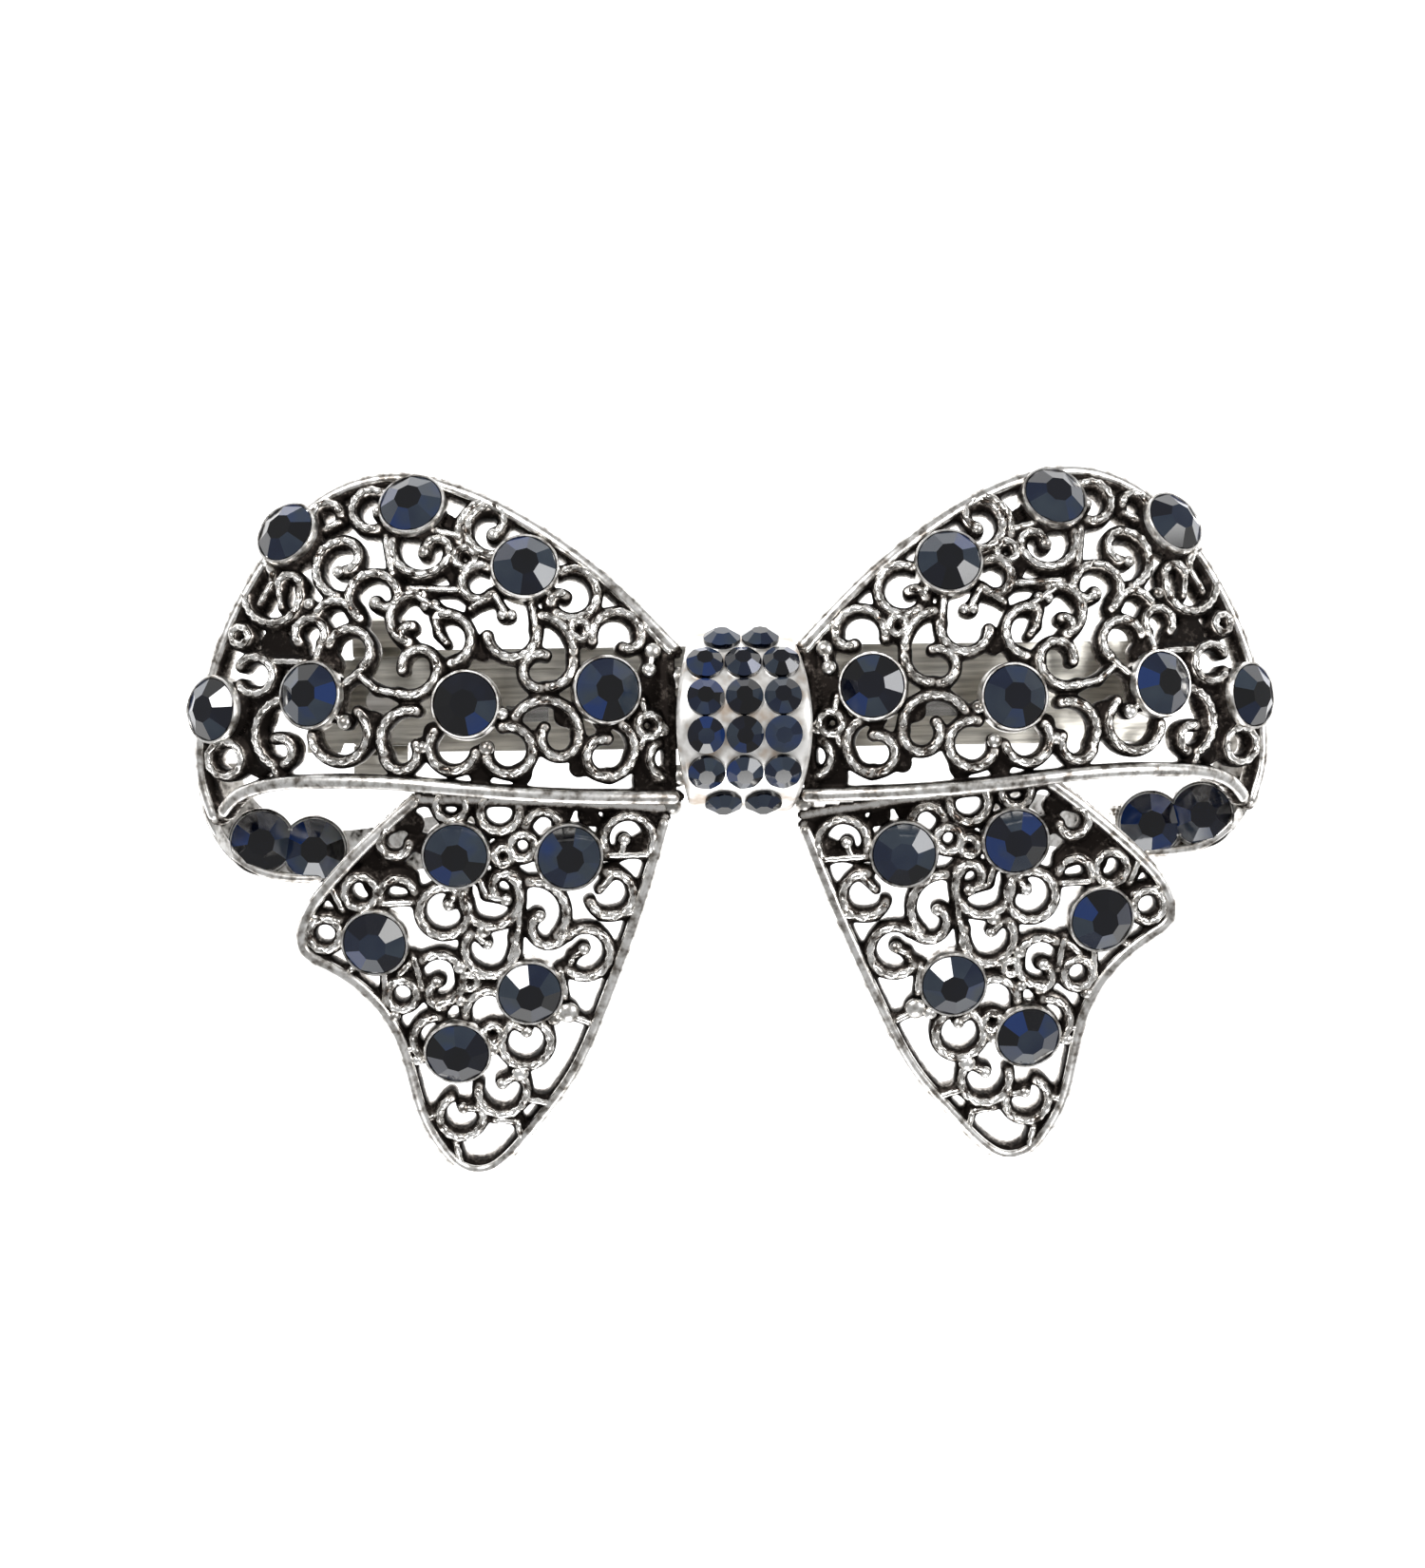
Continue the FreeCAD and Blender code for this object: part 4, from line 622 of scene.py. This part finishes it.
def web_mesh(kind, scrolls, struts, grains, borders, stones, webs):
    """Casting of one panel: rounded top that is high along the ridges, walls and back."""
    everything = np.concatenate(borders)
    low = everything.min(0) - 1.2
    high = everything.max(0) + 1.2
    x, y = np.meshgrid(np.arange(low[0], high[0], GRID), np.arange(low[1], high[1], GRID))
    inside, crest = panel_fields(x, y, scrolls, struts, grains, borders, stones, webs)
    cups = np.min([np.hypot(x - sx, y - sy) for sx, sy in stones], axis=0) - STONE_R - 0.12
    inside = np.where(beyond_outline(x, y, borders) & (cups > 0), -np.abs(inside) - 0.02, inside)
    points, values, faces, links = cut_grid(x, y, inside)
    _, crest = panel_fields(points[:, 0], points[:, 1], scrolls, struts, grains, borders, stones, webs)
    rounding = 0.22
    edge = np.clip(values / rounding, 0, 1)
    drop = rounding * (1 - np.sqrt(1 - (1 - edge) ** 2))
    sunk = 0.32 * np.clip((crest - 0.30) / 0.45, 0, 1)
    for sx, sy in stones:
        beside = np.hypot(points[:, 0] - sx, points[:, 1] - sy)
        sunk = np.where(beside < STONE_R + 0.3, 0.05, sunk)
    base, normals = shell_frame(kind, points[:, 0], points[:, 1])
    top = base - normals * (drop + sunk)[:, None]
    back_edge = np.clip(values / 0.3, 0, 1)
    back = base - normals * (THICKNESS - 0.25 * (1 - np.sqrt(1 - (1 - back_edge) ** 2)))[:, None]
    top_patina_and_shade = np.clip(1.0 - (crest / 0.40) ** 2 - 0.6 * sunk, 0.0, 1.0)
    wear_back = np.full(len(points), 0.66)
    count = len(points)
    rim_points = np.unique(links)
    middle_of = {int(v): 2 * count + k for k, v in enumerate(rim_points)}
    shade = base[rim_points] - normals[rim_points] * 0.75
    vertices = np.concatenate([top, back, shade])
    outer = outer_edge(points[rim_points], everything)
    # Painted shade beside the knot: the loop's casting darkens towards the knot, where the loop runs in under
    # it, and its outer wall there gets no painted light.
    clear_of_knot_shade = np.clip((points[:, 0] - 5.9) / 1.2, 0.0, 1.0) if kind == "loop" else np.ones(count)
    outer &= clear_of_knot_shade[rim_points] > 0.3
    top_patina_and_shade = top_patina_and_shade * (0.15 + 0.85 * clear_of_knot_shade)
    # Painted light on the panels' outer walls (0.74 mid-wall, 0.62 at the top edge); the walls inside the
    # openings stay dark, patina with painted shade (0.20 and 0.16).
    patina_and_painted_light = np.concatenate([top_patina_and_shade * 0.85, wear_back, np.where(outer, 0.74, 0.20)])
    patina_and_painted_light[rim_points] = np.where(outer, 0.62, 0.16)
    all_faces = list(faces)
    all_faces += [tuple(v + count for v in reversed(face)) for face in faces]
    for first, last in links.tolist():
        upper = (last, first, middle_of[first], middle_of[last])
        lower = (middle_of[last], middle_of[first], first + count, last + count)
        all_faces += [upper, lower]
    return vertices, all_faces, patina_and_painted_light


# ---------------------------------------------------------------- ridges, grains and cups of a panel
def on_shell(kind, path, lift):
    points, normals = shell_frame(kind, path[:, 0], path[:, 1])
    return points + normals * lift, normals


def ridge_parts(kind, scrolls, struts, borders):
    """Twisted wire along every scroll and plain wire along every strut, none of it past the rim."""
    parts = []
    for number, (cx, cy, radius, start, end) in enumerate(scrolls):
        path = arc_points(cx, cy, radius, start, end, 0.10)
        kept = ~beyond_outline(path[:, 0], path[:, 1], borders)
        closed = end - start >= 359 and kept.all()
        if not kept.all():
            gone = int(np.argmin(kept))
            path = np.roll(path, -gone, axis=0)[np.roll(kept, -gone)] if end - start >= 359 else path[kept]
        if len(path) < 6:
            continue
        points, normals = on_shell(kind, path, 0.02)
        parts.append(tube(points, normals, 0.31, 0.36, 0.13, pitch=0.85 + 0.1 * (number % 3),
                          taper=0 if closed else 0.4, closed=closed))
    for ax, ay, bx, by in struts:
        count = max(4, int(math.hypot(bx - ax, by - ay) / 0.12))
        path = np.linspace((ax, ay), (bx, by), count)
        points, normals = on_shell(kind, path, -0.08)
        parts.append(tube(points, normals, 0.27, 0.30, 0.08, taper=0.3))
    return parts


def border_parts(kind, borders):
    """Rolled ridge along each border; each border comes with its ridge's half-width."""
    parts = []
    for path, across in borders:
        points, normals = on_shell(kind, path, -0.02)
        parts.append(tube(points, normals, across, 0.38, 0.0, sides=12, taper=0.5))
    return parts


def stone_cups(kind, stones):
    """Thin bright bezel round each large stone."""
    parts = []
    for sx, sy in stones:
        points, normals = shell_frame(kind, np.array([sx]), np.array([sy]))
        parts.append(bezel(points[0], normals[0]))
    return parts


def bezel(centre, normal):
    """Ring wall round a stone, from the casting up to just over the stone's girdle."""
    turn = np.array(Vector(normal).to_track_quat("Z", "Y").to_matrix())
    profile = [(2.53, -0.9), (2.53, 0.40), (2.60, 0.50), (2.72, 0.50), (2.80, 0.38), (2.84, -0.9)]
    sides = 64
    vertices = []
    for j in range(sides):
        angle = 2 * math.pi * j / sides
        for radius, height in profile:
            local = np.array([radius * math.cos(angle), radius * math.sin(angle), height])
            vertices.append(centre + turn @ local)
    faces = []
    rows = len(profile)
    for j in range(sides):
        n = (j + 1) % sides
        for k in range(rows):
            m = (k + 1) % rows
            faces.append((j * rows + k, j * rows + m, n * rows + m, n * rows + k))
    return np.array(vertices), faces


def panel(kind, side, word):
    """One loop or tail: casting, ridges, border and bezels."""
    if kind == "loop":
        data = (LOOP_SCROLLS, LOOP_STRUTS, LOOP_GRAINS, LOOP_STONES, LOOP_WEBS)
        paths = [LOOP_CREST, LOOP_HEM, [(5.5, 5.8), (5.45, 0.4), (5.5, -5.0)]]
        ridged = [0.50, 0.55]
    else:
        data = (TAIL_SCROLLS, TAIL_STRUTS, TAIL_GRAINS, TAIL_STONES, TAIL_WEBS)
        paths = [TAIL_EDGE, TAIL_TOP]
        ridged = [0.48]
    scrolls, struts, grains, stones, webs = data
    borders = [smooth_curve(path, 0.22) for path in paths]
    node = f"{word}_{kind}"
    vertices, faces, patina_and_painted_light = web_mesh(kind, scrolls, struts, grains, borders, stones, webs)
    # The casting carries its patina, with painted shade and painted light, as a point attribute.
    casting = make_object(node + "_casting", to_frame(vertices, side, kind), faces, SILVER, side,
                          attributes={"patina_and_painted_light": ("POINT", patina_and_painted_light)})
    vertices, faces = joined(ridge_parts(kind, scrolls, struts, borders))
    ridges = make_object(node + "_ridges", to_frame(vertices, side, kind), faces, RIDGE, side, smooth=60)
    vertices, faces = joined(border_parts(kind, list(zip(borders, ridged))))
    placed = to_frame(vertices, side, kind)
    border = make_object(node + "_border", placed, faces, RIM_SILVER, side, smooth=60)
    vertices, faces = joined(stone_cups(kind, stones))
    cups = make_object(node + "_bezels", to_frame(vertices, side, kind), faces, RIM_SILVER, side, smooth=35)
    beads = []
    for gx, gy, radius in grains:
        points, normals = shell_frame(kind, np.array([gx]), np.array([gy]))
        beads.append(dome(points[0] - normals[0] * 0.1, normals[0], radius, min(radius, 0.55)))
    vertices, faces = joined(beads)
    placed = to_frame(vertices, side, kind)
    granules = make_object(node + "_grains", placed, faces, RIM_SILVER, side, smooth=60)
    for piece in (casting, ridges, border, cups, granules):
        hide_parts(node)
        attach(piece, "root")


# ---------------------------------------------------------------- crystals
def faceted_stone(radius, girdle, crown):
    """Flat-backed stone: octagonal table, eight crown facets, round girdle. Returns points, faces, kinds."""
    table = TABLE_SHARE * radius
    flat = table * math.cos(math.pi / 8)
    reach = CROWN_SHARE * radius
    slope = crown / (reach - flat)
    arc = 6
    vertices, faces, kinds = [], [], []
    for k in range(8):
        angle = math.radians(22.5 + 45 * k)
        vertices.append((table * math.cos(angle), table * math.sin(angle), girdle + crown))
    faces.append(tuple(range(8)))
    kinds.append(0)
    for k in range(8):
        start = math.radians(22.5 + 45 * k)
        middle = start + math.pi / 8
        rim = []
        for j in range(arc + 1):
            angle = start + math.pi / 4 * j / arc
            apothem = radius * math.cos(angle - middle)
            height = girdle + (reach - apothem) * slope
            vertices.append((radius * math.cos(angle), radius * math.sin(angle), height))
            rim.append(len(vertices) - 1)
        faces.append((k, *rim, (k + 1) % 8))
        kinds.append(1 + k)
        base = []
        for j in range(arc + 1):
            angle = start + math.pi / 4 * j / arc
            vertices.append((radius * math.cos(angle), radius * math.sin(angle), 0.0))
            base.append(len(vertices) - 1)
        for j in range(arc):
            faces.append((rim[j + 1], rim[j], base[j], base[j + 1]))
            kinds.append(9)
    foot = [vertices.index((radius * math.cos(math.radians(22.5 + 45 * k)),
                            radius * math.sin(math.radians(22.5 + 45 * k)), 0.0)) for k in range(8)]
    faces.append(tuple(reversed(foot)))
    kinds.append(9)
    return np.array(vertices), faces, kinds


# Painted reflections that a facet may take, from near black over slate to blue, and how often each comes.
TABLE_REFLECTIONS, TABLE_ODDS = [0.10, 0.16, 0.30, 0.72], [0.35, 0.3, 0.2, 0.15]
CROWN_REFLECTIONS, CROWN_ODDS = [0.12, 0.4, 0.66, 0.82, 0.9, 1.0], [0.16, 0.14, 0.16, 0.2, 0.22, 0.12]


def crystals(name, node, places, radius, girdle, crown, side=1, kind=None):
    """Group of stones. places holds (centre, normal, turn); every facet gets a painted reflection of its own.
    """
    shape, shape_faces, kinds = faceted_stone(radius, girdle, crown)
    vertices, faces, facet_reflections = [], [], []
    for centre, normal, turn in places:
        rotate = np.array(Vector(normal).to_track_quat("Z", "Y").to_matrix())
        cos, sin = math.cos(turn), math.sin(turn)
        spun = shape @ np.array([[cos, sin, 0], [-sin, cos, 0], [0, 0, 1]])
        offset = len(vertices) * len(shape)
        vertices.append(centre + spun @ rotate.T)
        faces += [tuple(index + offset for index in face) for face in shape_faces]
        # Painted reflection per facet: table and crown facets drawn at random from the levels above, girdle
        # and back at 0.2.
        table = rng.choice(TABLE_REFLECTIONS, p=TABLE_ODDS)
        crown_reflections = rng.choice(CROWN_REFLECTIONS, 8, p=CROWN_ODDS)
        facet_reflections += [table if k == 0 else (0.2 if k == 9 else crown_reflections[k - 1]) for k in kinds]
    piece = make_object(name, to_frame(np.concatenate(vertices), side, kind), faces, GLASS, side, smooth=1,
                        attributes={"facet_reflection": ("FACE", facet_reflections)})
    piece.data.shade_flat()
    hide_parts(node)
    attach(piece, "root")
    return piece


def panel_crystals(kind, side, word):
    stones = LOOP_STONES if kind == "loop" else TAIL_STONES
    places = []
    for x, y in stones:
        points, normals = shell_frame(kind, np.array([x]), np.array([y]))
        places.append((points[0] - normals[0] * SEAT_DEPTH, normals[0], rng.uniform(0, math.pi)))
    crystals(f"{word}_{kind}_stones", f"{word}_{kind}_crystals", places, STONE_R, GIRDLE, CROWN, side, kind)


# ---------------------------------------------------------------- knot
def knot_half_width(y):
    return KNOT_HALF - y ** 2 / (2 * KNOT_BOW)


def knot():
    """Convex band bent over the bow's middle, its long edges rounded over."""
    fillet = 0.5
    angles = np.radians(np.linspace(-92, 92, 93))
    corner = np.linspace(0, math.pi / 2, 5)
    rings = []
    for angle in angles:
        y = KNOT_R * math.sin(angle)
        half = knot_half_width(y)
        outline = []
        flat_part = np.linspace(-(half - fillet), half - fillet, 9)
        crown = 0.12 * (1 - (flat_part / half) ** 2)
        outline += [(x, KNOT_R - 0.12 + c) for x, c in zip(flat_part, crown)]
        outline += [(half - fillet + fillet * math.sin(t), KNOT_R - 0.12 - fillet + fillet * math.cos(t))
                    for t in corner[1:]]
        outline += [(half - 0.05, KNOT_R - KNOT_WALL), (-(half - 0.05), KNOT_R - KNOT_WALL)]
        outline += [(-(half - fillet + fillet * math.sin(t)), KNOT_R - 0.12 - fillet + fillet * math.cos(t))
                    for t in corner[:0:-1]]
        rings.append([(x, reach * math.sin(angle), KNOT_Z + reach * math.cos(angle))
                      for x, reach in outline])
    sides = len(rings[0])
    vertices = np.array(rings).reshape(-1, 3)
    faces = []
    for k in range(len(rings) - 1):
        for j in range(sides):
            n = (j + 1) % sides
            faces.append((k * sides + j, k * sides + n, (k + 1) * sides + n, (k + 1) * sides + j))
    faces.append(tuple(reversed(range(sides))))
    faces.append(tuple((len(rings) - 1) * sides + j for j in range(sides)))
    piece = make_object("knot_casting", to_frame(vertices, 1, "knot"), faces, KNOT_SILVER, 1, smooth=50)
    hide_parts("knot_band")
    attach(piece, "root")


def knot_crystals():
    rows = [(65.0, (-1.55, 1.55)), (40.5, (-3.05, 0.0, 3.05)), (16.5, (-3.1, 0.0, 3.1)),
            (-7.0, (-3.1, 0.0, 3.1)), (-32.0, (-3.05, 0.0, 3.05)), (-60.0, (-1.6, 1.6))]
    places = []
    for lean, stations in rows:
        angle = math.radians(lean)
        normal = np.array([0, math.sin(angle), math.cos(angle)])
        for x in stations:
            centre = np.array([x, 0, KNOT_Z]) + normal * (KNOT_R - 0.35)
            places.append((centre, normal, rng.uniform(0, math.pi)))
    crystals("knot_stones", "knot_crystals", places, SMALL_R, SMALL_GIRDLE, SMALL_CROWN, kind="knot")


# ---------------------------------------------------------------- returning bands
def return_band_trim(side, word):
    """Bright turned edge of the returning band and bezels of its two stones."""
    edge = [(43.6, -2.4), (43.5, -5.2), (42.4, -8.0), (40.7, -10.0), (38.3, -11.2), (34.0, -11.6)]
    low = smooth_curve(edge, 0.2)
    heights = np.full(len(low), 2.5)
    points = np.column_stack([low, heights])
    normals = np.tile([0.0, 0.0, 1.0], (len(points), 1))
    parts = [tube(points, normals, 0.42, 0.5, 0.0, sides=12, taper=0.6)]
    for x, y in BAND_STONES:
        parts.append(bezel(np.array([x, y, 2.2]), np.array([0.0, 0.0, 1.0])))
    vertices, faces = joined(parts)
    placed = to_frame(vertices, side, "band")
    piece = make_object(f"{word}_return_edge", placed, faces, RIM_SILVER, side, smooth=50)
    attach(piece, "root")
    places = [(np.array([x, y, 2.2 - SEAT_DEPTH]), np.array([0.0, 0.0, 1.0]), rng.uniform(0, math.pi))
              for x, y in BAND_STONES]
    crystals(f"{word}_band_stones", f"{word}_band_crystals", places, STONE_R, GIRDLE, CROWN, side, "band")


# ---------------------------------------------------------------- carried-over CAD nodes
def paint(node, material):
    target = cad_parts[node]
    target.data.materials.clear()
    target.data.materials.append(material)


WORDS = {1: "right", -1: "left"}
for side, word in WORDS.items():
    for kind in ("loop", "tail"):
        panel(kind, side, word)
        panel_crystals(kind, side, word)
    return_band_trim(side, word)
knot()
knot_crystals()
BAND_SILVER = ridge_silver("band_silver", (0.03, 0.025, 0.02), 0.35, 900.0)
for word in WORDS.values():
    paint(f"{word}_return_band", BAND_SILVER)
paint("knot_core", BAND_SILVER)
paint("solder_joints", RIVET)
for node in ("clip_base", "clip_arm", "clasp_bridge", "clasp_ear_upper", "clasp_ear_lower"):
    paint(node, CLIP)
paint("tension_leaf", SPRING)
for node in ("hinge_rivet", "clasp_rivet"):
    paint(node, RIVET)


# ---------------------------------------------------------------- floor, light and camera
ARM_DROP = 0.085    # the white backdrop lies below the open arm's reach


def build_stage():
    mesh = bpy.data.meshes.new("floor")
    reach = 1.2
    corners = [(-reach, -reach, 0), (reach, -reach, 0), (reach, reach, 0), (-reach, reach, 0)]
    mesh.from_pydata(corners, [], [(0, 1, 2, 3)])
    mesh.materials.append(floor_white())
    floor = bpy.data.objects.new("floor", mesh)
    floor.location.z = cad_box[0][2] - ARM_DROP
    bpy.context.scene.collection.objects.link(floor)
    world = bpy.data.worlds.new("studio")
    world.use_nodes = True
    world.node_tree.nodes["Background"].inputs["Color"].default_value = (1.0, 1.0, 1.0, 1)
    world.node_tree.nodes["Background"].inputs["Strength"].default_value = 0.38
    bpy.context.scene.world = world


def area_light(name, place, target, width, power):
    light = bpy.data.lights.new(name, "AREA")
    light.shape = "SQUARE"
    light.size = width
    light.energy = power
    lamp = bpy.data.objects.new(name, light)
    bpy.context.scene.collection.objects.link(lamp)
    lamp.location = place
    lamp.rotation_euler = (Vector(target) - Vector(place)).to_track_quat("-Z", "Y").to_euler()


def build_lights():
    area_light("key", (-0.28, 0.34, 0.50), (0, 0, 0), 0.22, 4.2)
    area_light("fill", (0.45, 0.10, 0.42), (0, 0, 0), 0.30, 2.6)
    area_light("low", (0.02, -0.55, 0.14), (0, 0, 0), 0.25, 1.6)


def build_camera():
    camera = bpy.data.cameras.new("camera")
    camera.lens = 113.0
    camera.sensor_width = 36.0
    camera.clip_start = 0.01
    camera.clip_end = 10.0
    holder = bpy.data.objects.new("camera", camera)
    bpy.context.scene.collection.objects.link(holder)
    bpy.context.scene.camera = holder
    yaw, pitch, roll, distance = math.radians(2.66), math.radians(-1.24), math.radians(0.78), 0.400
    target = Vector((-0.00207, 0.00324, 0.010))
    back = Vector((-math.sin(yaw) * math.cos(pitch), -math.sin(pitch), math.cos(yaw) * math.cos(pitch)))
    right = Vector((math.cos(yaw), 0, math.sin(yaw)))
    up = back.cross(right)
    turned_right = right * math.cos(roll) - up * math.sin(roll)
    turned_up = up * math.cos(roll) + right * math.sin(roll)
    pose = Matrix((turned_right, turned_up, back)).transposed().to_4x4()
    pose.translation = target + back * distance
    holder.matrix_world = pose


build_stage()
build_lights()
build_camera()
bpy.context.scene.view_settings.view_transform = "Standard"
